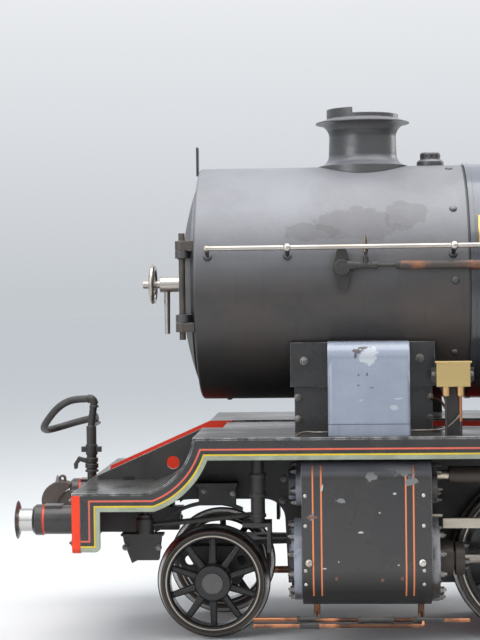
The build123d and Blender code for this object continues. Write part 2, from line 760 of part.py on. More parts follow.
# Cab: front with two windows, sides with a window and the doorway, curved roof, floor
cab_outer_y = half_width - 5
eaves_overhang = 5
roof_plate = 6
firebox_cut = firebox_r + curved_seat_gap
front_window_y = 395
front_window_z = 1285
side_window_x = cab_x + 320
side_window_z = 1210
with BuildPart() as cab_front:
    with BuildSketch(across(cab_x)):
        with BuildLine():
            Line((-cab_outer_y, deck_top_z), (-cab_outer_y, cab_eaves_z))
            ThreePointArc(
                (-cab_outer_y, cab_eaves_z), (0, cab_eaves_z + cab_roof_rise), (cab_outer_y, cab_eaves_z)
            )
            Line((cab_outer_y, cab_eaves_z), (cab_outer_y, deck_top_z))
            Line((cab_outer_y, deck_top_z), (-cab_outer_y, deck_top_z))
        make_face()
        with Locations((0, boiler_axis_z)):
            Circle(firebox_cut, mode=Mode.SUBTRACT)
        with Locations((0, (deck_top_z + boiler_axis_z) / 2)):
            Rectangle(2 * firebox_cut, boiler_axis_z - deck_top_z, mode=Mode.SUBTRACT)
        for s in (-1, 1):
            with Locations((s * front_window_y, front_window_z)):
                RectangleRounded(110, 130, 20, mode=Mode.SUBTRACT)
    extrude(amount=cab_plate)
keep(cab_front, "cab_front")

with BuildPart() as cab_sides:
    with BuildSketch(side(-cab_outer_y + cab_plate)):
        with BuildLine():
            Polyline(
                (cab_x + cab_plate, deck_top_z), (cab_x + cab_plate, cab_eaves_z),
                (cab_end_x - 60, cab_eaves_z), (cab_end_x - 60, 1290),
            )
            ThreePointArc((cab_end_x - 60, 1290), (cab_end_x - 170, 1230), (cab_end_x - 225, 1110))
            Polyline(
                (cab_end_x - 225, 1110), (cab_end_x - 225, 960), (cab_end_x - 60, 900),
                (cab_end_x - 60, deck_top_z), (cab_x + cab_plate, deck_top_z),
            )
        make_face()
        with Locations((side_window_x, side_window_z)):
            RectangleRounded(330, 190, 30, mode=Mode.SUBTRACT)
    extrude(amount=cab_plate)
    mirror(about=Plane.XZ)
keep(cab_sides, "cab_sides")

roof_y = cab_outer_y + eaves_overhang
with BuildPart() as cab_roof:
    with BuildSketch(across(cab_x - 30)):
        with BuildLine():
            ThreePointArc(
                (-roof_y, cab_eaves_z), (0, cab_eaves_z + cab_roof_rise + roof_plate), (roof_y, cab_eaves_z)
            )
            Line((roof_y, cab_eaves_z), (cab_outer_y, cab_eaves_z))
            ThreePointArc(
                (cab_outer_y, cab_eaves_z), (0, cab_eaves_z + cab_roof_rise), (-cab_outer_y, cab_eaves_z)
            )
            Line((-cab_outer_y, cab_eaves_z), (-roof_y, cab_eaves_z))
        make_face()
    extrude(amount=cab_length + 50)
keep(cab_roof, "cab_roof")

floor_x = firebox_x + firebox_length
with BuildPart() as cab_floor:
    bar(
        floor_x + 2, cab_end_x - 62, -cab_outer_y + cab_plate, cab_outer_y - cab_plate,
        deck_top_z, cab_floor_z,
    )
    with Locations((reach_lever_x, lever_mid_y, deck_top_z + floor_plate / 2)):
        Box(*lever_slot, floor_plate + 2, mode=Mode.SUBTRACT)
keep(cab_floor, "cab_floor")

# Backhead: firehole with its hinged door, shelf, regulator, gauge glasses, steam manifold and dials
backhead_x = floor_x
firehole_z = 838
shelf_z = 950
regulator_z = 1150
glass_y = 190
glass_z = (1010, 1150)
manifold_z = 1330
dial_y = 62
dial_z = 1254
lever_foot_z = 520
lever_top_z = 985
lever_face_y = reach_lever_y + lever_plate
quadrant_x = (reach_lever_x - 36, reach_lever_x + 36)
quadrant_top_z = 748
with BuildPart() as cab_controls:
    rod_along((backhead_x, 0, firehole_z), (backhead_x + 12, 0, firehole_z), 98)
    rod_along((backhead_x + 12, 0, firehole_z), (backhead_x + 22, 0, firehole_z), 80)
    bar(backhead_x + 12, backhead_x + 26, -104, 40, firehole_z + 30, firehole_z + 44)
    bar(backhead_x + 12, backhead_x + 26, -104, 40, firehole_z - 44, firehole_z - 30)
    rod_along((backhead_x + 19, -100, firehole_z - 56), (backhead_x + 19, -100, firehole_z + 56), 7)
    rod_along((backhead_x + 20, 52, firehole_z), (backhead_x + 44, 52, firehole_z), 5)
    bar(backhead_x, backhead_x + 44, -130, 130, shelf_z, shelf_z + 6)
    rod_along((backhead_x, 0, regulator_z), (backhead_x + 18, 0, regulator_z), 38)
    rod_along((backhead_x, 0, regulator_z), (backhead_x + 42, 0, regulator_z), 16)
    with BuildSketch(across(backhead_x + 32)) as regulator_handle:
        with BuildLine():
            Polyline(
                (-176, regulator_z - 36), (-170, regulator_z - 46), (14, regulator_z - 14),
                (14, regulator_z + 14), close=True,
            )
        make_face()
        with Locations((0, regulator_z)):
            Circle(22)
    extrude(regulator_handle.sketch, amount=9)
    for y in (-glass_y, glass_y):
        for z in glass_z:
            rod_along((backhead_x, y, z), (backhead_x + 12, y, z), 17)
            rod_along((backhead_x, y, z), (backhead_x + 40, y, z), 9)
        rod_along((backhead_x + 28, y, glass_z[0] - 30), (backhead_x + 28, y, glass_z[1] + 20), 8)
    rod_along((backhead_x + 20, -124, manifold_z), (backhead_x + 20, 124, manifold_z), 13)
    rod_along((backhead_x, 0, manifold_z), (backhead_x + 20, 0, manifold_z), 15)
    for y in (-96, -32, 32, 96):
        rod_along((backhead_x + 20, y, manifold_z), (backhead_x + 40, y, manifold_z), 5)
        rod_along((backhead_x + 36, y, manifold_z), (backhead_x + 42, y, manifold_z), 17)
    for y in (-dial_y, dial_y):
        rod_along((backhead_x, y, dial_z), (backhead_x + 26, y, dial_z), 40)
        rod_along((backhead_x + 26, y, dial_z), (backhead_x + 30, y, dial_z), 44)
        rod_along((backhead_x + 20, y, dial_z), (backhead_x + 20, y, manifold_z), 5)
    with BuildSketch(side(reach_lever_y)) as reversing_lever:
        with BuildLine():
            Polyline(
                (reach_lever_x - 16, lever_foot_z), (reach_lever_x + 16, lever_foot_z),
                (reach_lever_x + 7, lever_top_z - 120), (reach_lever_x - 7, lever_top_z - 120), close=True,
            )
        make_face()
        with Locations((reach_lever_x, lever_foot_z)):
            Circle(18)
    extrude(reversing_lever.sketch, amount=-lever_plate)
    rod_along((reach_lever_x, lever_mid_y, lever_top_z - 124), (reach_lever_x, lever_mid_y, lever_top_z), 9)
    with BuildSketch(side(lever_face_y + 1)) as lever_quadrant:
        with BuildLine():
            ThreePointArc(
                (quadrant_x[0], quadrant_top_z), (reach_lever_x, quadrant_top_z + 3),
                (quadrant_x[1], quadrant_top_z),
            )
            Polyline(
                (quadrant_x[1], quadrant_top_z), (quadrant_x[1], cab_floor_z), (quadrant_x[0], cab_floor_z),
                (quadrant_x[0], quadrant_top_z),
            )
        make_face()
        with Locations((reach_lever_x, (cab_floor_z + quadrant_top_z) / 2 - 6)):
            Rectangle(quadrant_x[1] - quadrant_x[0] - 24, 74, mode=Mode.SUBTRACT)
    extrude(lever_quadrant.sketch, amount=-6)
    pin_end = (reach_lever_x, lever_face_y + 14, lever_foot_z)
    rod_along((reach_lever_x, lever_mid_y, lever_foot_z), pin_end, 9)
    bar(
        reach_lever_x - 16, reach_lever_x + 16, lever_face_y + 4, lever_face_y + 14,
        lever_foot_z - 16, frame_top_z,
    )
keep(cab_controls, "cab_controls")

with BuildPart() as driver_seats:
    for s in (-1, 1):
        y0 = s * (cab_outer_y - cab_plate - 1)
        bar(floor_x + 170, floor_x + 400, y0, y0 - s * 170, 840, 870)
        bar(floor_x + 190, floor_x + 210, y0, y0 - s * 150, cab_floor_z, 840)
        bar(floor_x + 360, floor_x + 380, y0, y0 - s * 150, cab_floor_z, 840)
keep(driver_seats, "driver_seats")

# Rear beam with the drawbar pocket: two thick ears bored for the pin
drag_pin_r = 14
drag_pin_x = rear_x - 24
drag_beam_plate = 22
drag_beam_bottom_z = 400
drag_z = 458
ear_plate = 16
ear_gap = 24
ear_half_width = 70
with BuildPart() as rear_drag_beam:
    beam_face_x = frame_rear_x + drag_beam_plate
    bar(frame_rear_x, beam_face_x, -half_width, half_width, drag_beam_bottom_z, frame_top_z)
    for low_z in (drag_z - ear_gap / 2 - ear_plate, drag_z + ear_gap / 2):
        with BuildSketch(Plane.XY.offset(low_z)) as ear:
            with BuildLine():
                Polyline(
                    (beam_face_x, -ear_half_width), (rear_x - 26, -ear_half_width),
                    (rear_x, -ear_half_width + 26), (rear_x, ear_half_width - 26),
                    (rear_x - 26, ear_half_width), (beam_face_x, ear_half_width), close=True,
                )
            make_face()
            with Locations((drag_pin_x, 0)):
                Circle(drag_pin_r, mode=Mode.SUBTRACT)
        extrude(ear.sketch, amount=ear_plate)
keep(rear_drag_beam, "rear_drag_beam")

# Cylinder blocks: steam chest above, cylinder below, bored for the piston rod
block_top_z = 533
cladding_plate = 4
chest_corner = 50
block_root_drop = 50
block_face_y = cylinder_y + cylinder_r
rod_r = 15
rod_bore_start = block_x + 60
rod_bore_clearance = 6


def block_outline(grow):
    """The section of the left cylinder block, made bigger all round by the given amount."""
    top = block_top_z - cladding_plate + grow
    face = block_face_y + grow
    radius = cylinder_r + grow
    diagonal = radius * sin(radians(45))
    bulge = chest_corner * (1 - cos(radians(45)))
    with BuildLine() as outline:
        Line((-frame_outer_y, top), (-face + chest_corner, top))
        ThreePointArc(
            (-face + chest_corner, top), (-face + bulge, top - bulge), (-face, top - chest_corner)
        )
        Line((-face, top - chest_corner), (-face, cylinder_z))
        ThreePointArc(
            (-face, cylinder_z), (-cylinder_y - diagonal, cylinder_z - diagonal),
            (-cylinder_y, cylinder_z - radius),
        )
        Line((-cylinder_y, cylinder_z - radius), (-frame_outer_y, cylinder_z - block_root_drop - grow))
        Line((-frame_outer_y, cylinder_z - block_root_drop - grow), (-frame_outer_y, top))
    return outline.line


with BuildPart() as cylinder_blocks:
    with BuildSketch(across(block_x)):
        make_face(block_outline(0))
    extrude(amount=cylinder_length)
    mirror(about=Plane.XZ)
    for s in (-1, 1):
        rod_along(
            (rod_bore_start, s * cylinder_y, cylinder_z), (block_end_x + 1, s * cylinder_y, cylinder_z),
            rod_r + rod_bore_clearance, Mode.SUBTRACT,
        )
keep(cylinder_blocks, "cylinder_blocks")

with BuildPart() as cylinder_cladding:
    with BuildSketch(across(block_x)):
        make_face(block_outline(cladding_plate))
        make_face(block_outline(0), mode=Mode.SUBTRACT)
    extrude(amount=cylinder_length)
    mirror(about=Plane.XZ)
keep(cylinder_cladding, "cylinder_cladding")

# Covers and glands on the left block, one row per disc
rear_cover_plate = 22
gland_start_x = block_end_x + rear_cover_plate
gland_end_x = block_end_x + 94
rear_cover_r = 118
valve_guide_end_x = block_end_x + 138
spindle_end_x = pony_x + 781
covers = [
    # start, end, radius, y, z
    (block_x - 22, block_x, 114, cylinder_y, cylinder_z),
    (block_x - 30, block_x - 22, 92, cylinder_y, cylinder_z),
    (block_x - 38, block_x - 30, 40, cylinder_y, cylinder_z),
    (block_x - 16, block_x, 62, valve_y, valve_z),
    (block_x - 36, block_x - 16, 44, valve_y, valve_z),
    (block_end_x, gland_start_x, rear_cover_r, cylinder_y, cylinder_z),
    (gland_start_x, gland_start_x + 40, 50, cylinder_y, cylinder_z),
    (gland_start_x + 46, gland_end_x, 46, cylinder_y, cylinder_z),
    (gland_start_x + 40, gland_start_x + 46, 30, cylinder_y, cylinder_z),
    (block_end_x, block_end_x + 18, 56, valve_y, valve_z),
    (block_end_x + 18, block_end_x + 52, 14, valve_y, spindle_z),
    (block_end_x + 52, valve_guide_end_x, 24, valve_y, spindle_z),
    (valve_guide_end_x, spindle_end_x, 10, valve_y, spindle_z),
]
with BuildPart() as cylinder_covers:
    for start, end, radius, y, z in covers:
        rod_along((start, -y, z), (end, -y, z), radius)
    rod_along(
        (block_end_x - 1, -cylinder_y, cylinder_z), (gland_end_x + 1, -cylinder_y, cylinder_z),
        rod_r + pin_clearance, Mode.SUBTRACT,
    )
    mirror(about=Plane.XZ)
keep(cylinder_covers, "cylinder_covers")

# The planes of the motion, from the wheel face outwards
coupling_inner_y = wheel_face_y + 13.5
coupling_outer_y = coupling_inner_y + 22
pin_collar_y = coupling_outer_y + 3
connecting_inner_y = coupling_outer_y + 9
connecting_outer_y = connecting_inner_y + 22
return_inner_y = connecting_outer_y + 6
return_outer_y = return_inner_y + 16
eccentric_rod_inner_y = return_outer_y + 6
eccentric_rod_outer_y = eccentric_rod_inner_y + 18
crosshead_inner_y = connecting_outer_y + 8
crosshead_outer_y = crosshead_inner_y + 40
bar_inner_y = crosshead_inner_y + 8
bar_outer_y = crosshead_outer_y - 8
link_inner_y = eccentric_rod_outer_y + 11
link_outer_y = link_inner_y + 20
lever_inner_y = link_outer_y - 12
lever_outer_y = link_outer_y
radius_rod_y = link_outer_y + 12
bearing_y = radius_rod_y + 4
bearing_plate = 12

# Slide bars, carried by the rear cylinder cover and the motion bracket
motion_x = pony_x + 1290
bracket_plate = 16
bar_seat_length = 34
slide_bar_top_z = slide_bar_z + slide_bar_height
with BuildPart() as slide_bars:
    bar(block_end_x, motion_x + bracket_plate, -bar_outer_y, -bar_inner_y, slide_bar_z, slide_bar_top_z)
    bar(
        block_end_x, block_end_x + bar_seat_length, -bar_outer_y, -bar_inner_y,
        slide_bar_z - 10, slide_bar_top_z + 12,
    )
    rod_along(
        (block_end_x - 1, -cylinder_y, cylinder_z),
        (block_end_x + bar_seat_length + 1, -cylinder_y, cylinder_z),
        rear_cover_r + curved_seat_gap, Mode.SUBTRACT,
    )
    mirror(about=Plane.XZ)
keep(slide_bars, "slide_bars")

# Motion brackets: plate off the frame, leg to the slide bar and the outer bearing of the link
trunnion_r = 14
bracket_bottom_z = 505
with BuildPart() as motion_brackets:
    with BuildSketch(across(motion_x)):
        with BuildLine():
            Polyline(
                (-frame_outer_y, frame_top_z), (-bearing_y - bearing_plate, frame_top_z),
                (-bearing_y - bearing_plate, bracket_bottom_z + 25), (-bar_outer_y, bracket_bottom_z),
                (-bar_outer_y, slide_bar_top_z), (-bar_inner_y, slide_bar_top_z),
                (-bar_inner_y, bracket_bottom_z - 15), (-bar_inner_y + 20, bracket_bottom_z),
                (-frame_outer_y, bracket_bottom_z), close=True,
            )
        make_face()
        with Locations((-(frame_outer_y + bar_inner_y) / 2, (bracket_bottom_z + frame_top_z) / 2)):
            SlotOverall(110, 44, mode=Mode.SUBTRACT)
    extrude(amount=bracket_plate)
    with BuildSketch(side(-bearing_y)):
        with BuildLine():
            Line((link_x + 30, link_z), (link_x + 44, frame_top_z))
            Polyline(
                (link_x + 44, frame_top_z), (motion_x, frame_top_z), (motion_x, bracket_bottom_z + 25),
                (link_x - 30, link_z),
            )
            ThreePointArc((link_x - 30, link_z), (link_x, link_z - 30), (link_x + 30, link_z))
        make_face()
        with Locations((link_x - 28, link_z + 110)):
            SlotOverall(60, 34, mode=Mode.SUBTRACT)
    extrude(amount=bearing_plate)
    rod_along((link_x, -link_outer_y, link_z), (link_x, -bearing_y, link_z), trunnion_r)
    mirror(about=Plane.XZ)
keep(motion_brackets, "motion_brackets")

# Crank angles at rest, seen from the left, and the places that follow from them
crank_angle = {"left": -45, "right": -135}
side_sign = {"left": -1, "right": 1}
eccentric_throw = 48
eccentric_lag = 90


def crosshead_x(hand):
    """Where the wrist pin stands on one side when its crank is at the rest angle."""
    dx, dz = polar(crank_throw, crank_angle[hand])
    rise = cylinder_z - (driver_z + dz)
    return main_x + dx - sqrt(connecting_rod_length**2 - rise**2)


# Valve gear that the chassis carries: link, radius rod, combination lever, union link and weighshaft
lever_x = pony_x + 790
rod_joint_z = 515
union_length = 255
union_z = 205
drop_arm = 60
link_reach = 115
link_width = 34
link_curve = 26
die_z = link_z + 62
lift_x = link_x + 60
reach_rod_y = reach_lever_y - 10
gear_pin_r = 9


def link_arc(offset, top, bottom):
    """One curved edge of the expansion link, moved along X, between two heights above its middle."""
    ends = [(link_x + offset + link_curve * (z / link_reach) ** 2, link_z + z) for z in (bottom, top)]
    middle = (bottom + top) / 2
    through = (link_x + offset + link_curve * (middle / link_reach) ** 2, link_z + middle)
    return [ends[0], through, ends[1]]


with BuildPart() as valve_gear:
    for hand, s in side_sign.items():
        lower_x = crosshead_x(hand) - drop_arm - union_length
        with BuildSketch(side(s * link_inner_y)) as link_plate:
            for grow, top, bottom, mode in (
                (link_width / 2, link_reach, -link_reach, Mode.ADD),
                (9, link_reach - 16, 26, Mode.SUBTRACT),
                (9, -26, -link_reach + 30, Mode.SUBTRACT),
            ):
                with BuildLine():
                    front = link_arc(-grow, top, bottom)
                    back = link_arc(grow, top, bottom)
                    ThreePointArc(*front)
                    Line(front[2], back[2])
                    ThreePointArc(*back)
                    Line(back[0], front[0])
                make_face(mode=mode)
        extrude(link_plate.sketch, amount=-s * (link_outer_y - link_inner_y))
        with BuildSketch(side(s * link_outer_y)) as radius_rod:
            with BuildLine():
                Polyline(
                    (lever_x, rod_joint_z - 9), (lift_x, die_z - 9), (lift_x, die_z + 9),
                    (lever_x, rod_joint_z + 9), close=True,
                )
            make_face()
            for x, z in ((lever_x, rod_joint_z), (lift_x, die_z)):
                with Locations((x, z)):
                    Circle(14)
        extrude(radius_rod.sketch, amount=-s * (radius_rod_y - link_outer_y))
        with BuildSketch(side(s * lever_inner_y)) as lever:
            with BuildLine():
                Polyline(
                    (lever_x - 12, rod_joint_z), (lever_x - 13, spindle_z), (lower_x - 8, union_z),
                    (lower_x + 8, union_z), (lever_x + 13, spindle_z), (lever_x + 12, rod_joint_z),
                    close=True,
                )
            make_face()
            for x, z, radius in (
                (lever_x, rod_joint_z, 14), (lever_x, spindle_z, 16), (lower_x, union_z, 13),
            ):
                with Locations((x, z)):
                    Circle(radius)
        extrude(lever.sketch, amount=-s * (lever_outer_y - lever_inner_y))
        with BuildSketch(side(s * (lever_inner_y - 10))) as union_link:
            with Locations((lower_x + union_length / 2, union_z)):
                Rectangle(union_length, 18)
            for x in (lower_x, lower_x + union_length):
                with Locations((x, union_z)):
                    Circle(13)
        extrude(union_link.sketch, amount=-s * 10)
        rod_along(
            (lever_x, s * (valve_y - 10), spindle_z), (lever_x, s * lever_inner_y, spindle_z), gear_pin_r
        )
        with BuildSketch(side(s * radius_rod_y)) as lifting_link:
            with Locations((lift_x, (die_z + weigh_z) / 2)):
                Rectangle(14, weigh_z - die_z)
            for z in (die_z, weigh_z):
                with Locations((lift_x, z)):
                    Circle(12)
        extrude(lifting_link.sketch, amount=s * 8)
        with BuildSketch(side(s * (link_outer_y - 10))) as lifting_arm:
            with Locations(((lift_x + weigh_x) / 2, weigh_z)):
                Rectangle(weigh_x - lift_x, 18)
            for x, radius in ((lift_x, 12), (weigh_x, 22)):
                with Locations((x, weigh_z)):
                    Circle(radius)
        extrude(lifting_arm.sketch, amount=-s * 14)
        rod_along(
            (weigh_x, s * frame_outer_y, weigh_z), (weigh_x, s * (frame_outer_y + 22), weigh_z), weigh_r + 11
        )
    rod_along((weigh_x, -link_outer_y, weigh_z), (weigh_x, reach_rod_y, weigh_z), weigh_r)
    with BuildSketch(side(reach_rod_y)) as reversing_arm:
        with Locations((weigh_x, weigh_z - 25)):
            Rectangle(18, 50)
        for z, radius in ((weigh_z, 22), (weigh_z - 50, 12)):
            with Locations((weigh_x, z)):
                Circle(radius)
    extrude(reversing_arm.sketch, amount=-10)
    rod_along((weigh_x, reach_rod_y + 5, weigh_z - 50), (reach_lever_x, reach_rod_y + 5, reach_rod_z), 4.5)
    rod_along((reach_lever_x, reach_rod_y, reach_rod_z), (reach_lever_x, reach_lever_y, reach_rod_z), 14)
keep(valve_gear, "valve_gear")


def make_wheel(tread_r, rim_depth, hub_r, hub_face_y, spoke_count, spoke_root, spoke_taper):
    """A left wheel on an axle along Y through the origin: flanged tyre, rim, hub and tapered oval spokes."""
    rim_r = tread_r - rim_depth
    tyre_inner_r = tread_r - tyre_depth
    spoke_mid_y = -(wheel_back_y + wheel_face_y) / 2 + 2
    spoke_start = hub_r - 4
    spoke_end = rim_r + 2
    with BuildPart() as wheel:
        with BuildSketch(Plane(origin=(0, 0, 0), x_dir=(0, -1, 0), z_dir=(-1, 0, 0))):
            with BuildLine():
                Polyline(
                    (wheel_back_y, rim_r + 3), (wheel_back_y, tread_r + flange_height - 5),
                    (wheel_back_y + 4, tread_r + flange_height), (wheel_back_y + 8, tread_r + flange_height),
                    (wheel_back_y + 15, tread_r + 1), (wheel_face_y - 3, tread_r - 1),
                    (wheel_face_y, tread_r - 4), (wheel_face_y, tyre_inner_r),
                    (wheel_face_y - 6, tyre_inner_r - 2), (wheel_face_y - 10, rim_r),
                    (wheel_back_y + 3, rim_r), close=True,
                )
            make_face()
        revolve(axis=Axis.Y)
        with BuildSketch(side(-wheel_back_y + 3)):
            Circle(hub_r)
        extrude(amount=hub_face_y - wheel_back_y + 3)
        outer_rim = wheel.edges().filter_by(GeomType.CIRCLE).group_by(Axis.Y)[0]
        chamfer(outer_rim, length=4)
        with BuildPart(mode=Mode.PRIVATE) as spoke:
            with BuildSketch(Plane(origin=(0, spoke_mid_y, spoke_start), x_dir=(1, 0, 0), z_dir=(0, 0, 1))):
                SlotOverall(*spoke_root)
            extrude(amount=spoke_end - spoke_start, taper=spoke_taper)
        for i in range(spoke_count):
            add(spoke.part.rotate(Axis.Y, 360 / spoke_count * i))
    return wheel.part


# Leading and trailing wheelsets
carrying_axle_r = 25
carrying_wheel = make_wheel(pony_tread_r, 28, 53, wheel_face_y + 4, 10, (24, 16), 2)
for name, axle_x, pivot_x, pivot_top_z in trucks:
    with BuildPart() as wheelset:
        rod_along((axle_x, -wheel_back_y, pony_z), (axle_x, wheel_back_y, pony_z), carrying_axle_r)
        add(carrying_wheel.moved(Location((axle_x, 0, pony_z))))
        add(carrying_wheel.mirror(Plane.XZ).moved(Location((axle_x, 0, pony_z))))
        for s in (-1, 1):
            rod_along((axle_x, s * wheel_face_y, pony_z), (axle_x, s * (wheel_face_y + 9), pony_z), 30)
    keep(wheelset, f"{name}_wheelset")

# Truck frames: side plates with their axle bearings, a cross plate and the radius arm to the pivot
truck_plate_y = 96
truck_plate = 14
truck_plate_top_z = 240
truck_cross_plate = 12
truck_half_length = 110
truck_bearing_r = 44
truck_boss_r = 46
arm_z = truck_plate_top_z + truck_cross_plate
pivot_gap = 0.5
for name, axle_x, pivot_x, pivot_top_z in trucks:
    arm = 1 if pivot_x > axle_x else -1
    with BuildPart() as truck_frame:
        with BuildSketch(side(-truck_plate_y)):
            with BuildLine():
                Polyline(
                    (axle_x - truck_half_length, truck_plate_top_z),
                    (axle_x + truck_half_length, truck_plate_top_z), (axle_x + truck_half_length, 205),
                    (axle_x + 55, 120), (axle_x - 55, 120), (axle_x - truck_half_length, 205), close=True,
                )
            make_face()
            for x in (axle_x - 76, axle_x + 76):
                with Locations((x, 210)):
                    Circle(15, mode=Mode.SUBTRACT)
        extrude(amount=truck_plate)
        rod_along(
            (axle_x, -truck_plate_y + 18, pony_z), (axle_x, -truck_plate_y - truck_plate - 18, pony_z),
            truck_bearing_r,
        )
        mirror(about=Plane.XZ)
        bar(
            axle_x - truck_half_length, axle_x + truck_half_length, -truck_plate_y - truck_plate,
            truck_plate_y + truck_plate, truck_plate_top_z, arm_z,
        )
        with BuildSketch(Plane.XY.offset(arm_z)):
            with BuildLine():
                Polyline(
                    (axle_x - arm * 90, -80), (axle_x + arm * 90, -80), (pivot_x, -30), (pivot_x, 30),
                    (axle_x + arm * 90, 80), (axle_x - arm * 90, 80), close=True,
                )
            make_face()
            with Locations((axle_x + arm * 190, 0)):
                SlotOverall(150, 60, mode=Mode.SUBTRACT)
        extrude(amount=truck_plate)
        rod_along((pivot_x, 0, pivot_bottom_z + pivot_gap), (pivot_x, 0, 290), truck_boss_r)
        rod_along((pivot_x, 0, 240), (pivot_x, 0, 300), pivot_r + pin_clearance, Mode.SUBTRACT)
        rod_along(
            (axle_x, -wheel_back_y, pony_z), (axle_x, wheel_back_y, pony_z),
            carrying_axle_r + pin_clearance, Mode.SUBTRACT,
        )
    keep(truck_frame, f"{name}_truck_frame")

# Coupled wheelsets: spoked wheels with crank bosses, counterweights and crankpins
driver_rim_depth = 40
driver_hub_r = 60
driver_hub_face_y = wheel_face_y + 7.5
boss_r = 40
boss_face_y = driver_hub_face_y + 1
boss_back_y = wheel_back_y + 10
weight_start = 92
weight_face_y = wheel_face_y - 8
running_gap = 0.5
return_end_r = 22
eccentric_pin_r = 11
driver_spokes = (12, (30, 18), 1.5)
driver_wheel = make_wheel(driver_tread_r, driver_rim_depth, driver_hub_r, driver_hub_face_y, *driver_spokes)
for number, axle_x in enumerate(driver_x, start=1):
    with BuildPart() as wheelset:
        rod_along((axle_x, -wheel_back_y, driver_z), (axle_x, wheel_back_y, driver_z), axle_r)
        add(driver_wheel.moved(Location((axle_x, 0, driver_z))))
        add(driver_wheel.mirror(Plane.XZ).moved(Location((axle_x, 0, driver_z))))
        for hand, s in side_sign.items():
            angle = crank_angle[hand]
            dx, dz = polar(crank_throw, angle)
            pin_x = axle_x + dx
            pin_z = driver_z + dz
            weight_r = driver_tread_r - driver_rim_depth + 2
            cut_width = weight_r + (weight_start if axle_x == main_x else weight_start + 26)
            with BuildSketch(side(s * boss_back_y)) as weight:
                with Locations(Location((axle_x, driver_z), angle + 180)):
                    Circle(weight_r)
                    with Locations((cut_width / 2 - weight_r, 0)):
                        Rectangle(cut_width, 2 * weight_r + 10, mode=Mode.SUBTRACT)
            extrude(weight.sketch, amount=-s * (weight_face_y - boss_back_y))
            with BuildSketch(side(s * boss_back_y)) as web:
                with Locations((pin_x, pin_z)):
                    Circle(boss_r)
                with Locations(Location((axle_x, driver_z), angle)):
                    Trapezoid(
                        2 * driver_hub_r, crank_throw, 72, rotation=-90, align=(Align.CENTER, Align.MIN)
                    )
            extrude(web.sketch, amount=-s * (boss_face_y - boss_back_y))
            if axle_x == main_x:
                rod_along((pin_x, s * boss_face_y, pin_z), (pin_x, s * return_outer_y, pin_z), crankpin_r)
                ex, ez = polar(eccentric_throw, angle - eccentric_lag)
                end_x = axle_x + ex
                end_z = driver_z + ez
                reach = sqrt((pin_x - end_x) ** 2 + (pin_z - end_z) ** 2)
                tilt = Vector(end_x - pin_x, end_z - pin_z).get_signed_angle(Vector(1, 0), Vector(0, 0, -1))
                with BuildSketch(side(s * return_inner_y)) as crank:
                    with Locations(Location((pin_x, pin_z), tilt)):
                        Circle(30)
                        with Locations((reach / 2, 0)):
                            Rectangle(reach, 34)
                        with Locations((reach, 0)):
                            Circle(return_end_r)
                extrude(crank.sketch, amount=-s * (return_outer_y - return_inner_y))
                collar_y = eccentric_rod_outer_y + running_gap
                rod_along((end_x, s * return_outer_y, end_z), (end_x, s * collar_y, end_z), eccentric_pin_r)
                rod_along(
                    (end_x, s * collar_y, end_z), (end_x, s * (collar_y + 3.5), end_z), eccentric_pin_r + 6
                )
            else:
                collar_y = coupling_outer_y + running_gap
                rod_along((pin_x, s * boss_face_y, pin_z), (pin_x, s * collar_y, pin_z), crankpin_r)
                rod_along((pin_x, s * collar_y, pin_z), (pin_x, s * pin_collar_y, pin_z), crankpin_r + 6)
    keep(wheelset, f"driving_wheelset_{number}")

# Rods, one set each side: bossed ends, fluted shanks and oil cups
coupling_eye_r = 36
coupling_rod_height = 42
connecting_rod_heights = (38, 54)
flute_depth = 6
flute_height = 22
oil_cup_r = 8
oil_cup_height = 9
big_end_r = 42
small_end_r = 30
wrist_pin_r = 16
eccentric_big_r = 24
eccentric_small_r = 17
foot_pin_r = 9
foot_x = link_x + 28
foot_z = link_z - 100
crosshead_half = 70
slipper = 20
piston_rod_length = 650


def fluted_shank(hand_sign, inner_y, outer_y, start, end, heights, margins):
    """A tapered rod between two centres (X, Z), with a groove in both faces between the margins."""
    start_height, end_height = heights
    margin_start, margin_end = margins
    line = Vector(end[0] - start[0], end[1] - start[1])
    length = line.length
    tilt = atan2(line.Y, line.X)
    along = Vector(cos(tilt), sin(tilt))
    up = Vector(-sin(tilt), cos(tilt))

    def corner(distance, height):
        point = Vector(*start) + along * distance + up * height
        return (point.X, point.Y)

    with BuildSketch(side(hand_sign * inner_y)) as shank:
        with BuildLine():
            Polyline(
                corner(0, -start_height / 2), corner(length, -end_height / 2),
                corner(length, end_height / 2), corner(0, start_height / 2), close=True,
            )
        make_face()
    extrude(shank.sketch, amount=-hand_sign * (outer_y - inner_y))
    flute_ends = (start_height - flute_height / 2 - 9, end_height - flute_height / 2 - 9)
    for face_y, depth in ((inner_y, flute_depth), (outer_y, -flute_depth)):
        with BuildSketch(side(hand_sign * face_y)) as flute:
            with BuildLine():
                Polyline(
                    corner(margin_start, -flute_ends[0] / 2),
                    corner(length - margin_end, -flute_ends[1] / 2),
                    corner(length - margin_end, flute_ends[1] / 2),
                    corner(margin_start, flute_ends[0] / 2), close=True,
                )
            make_face()
            fillet(flute.vertices(), radius=5)
        extrude(flute.sketch, amount=-hand_sign * depth, mode=Mode.SUBTRACT)


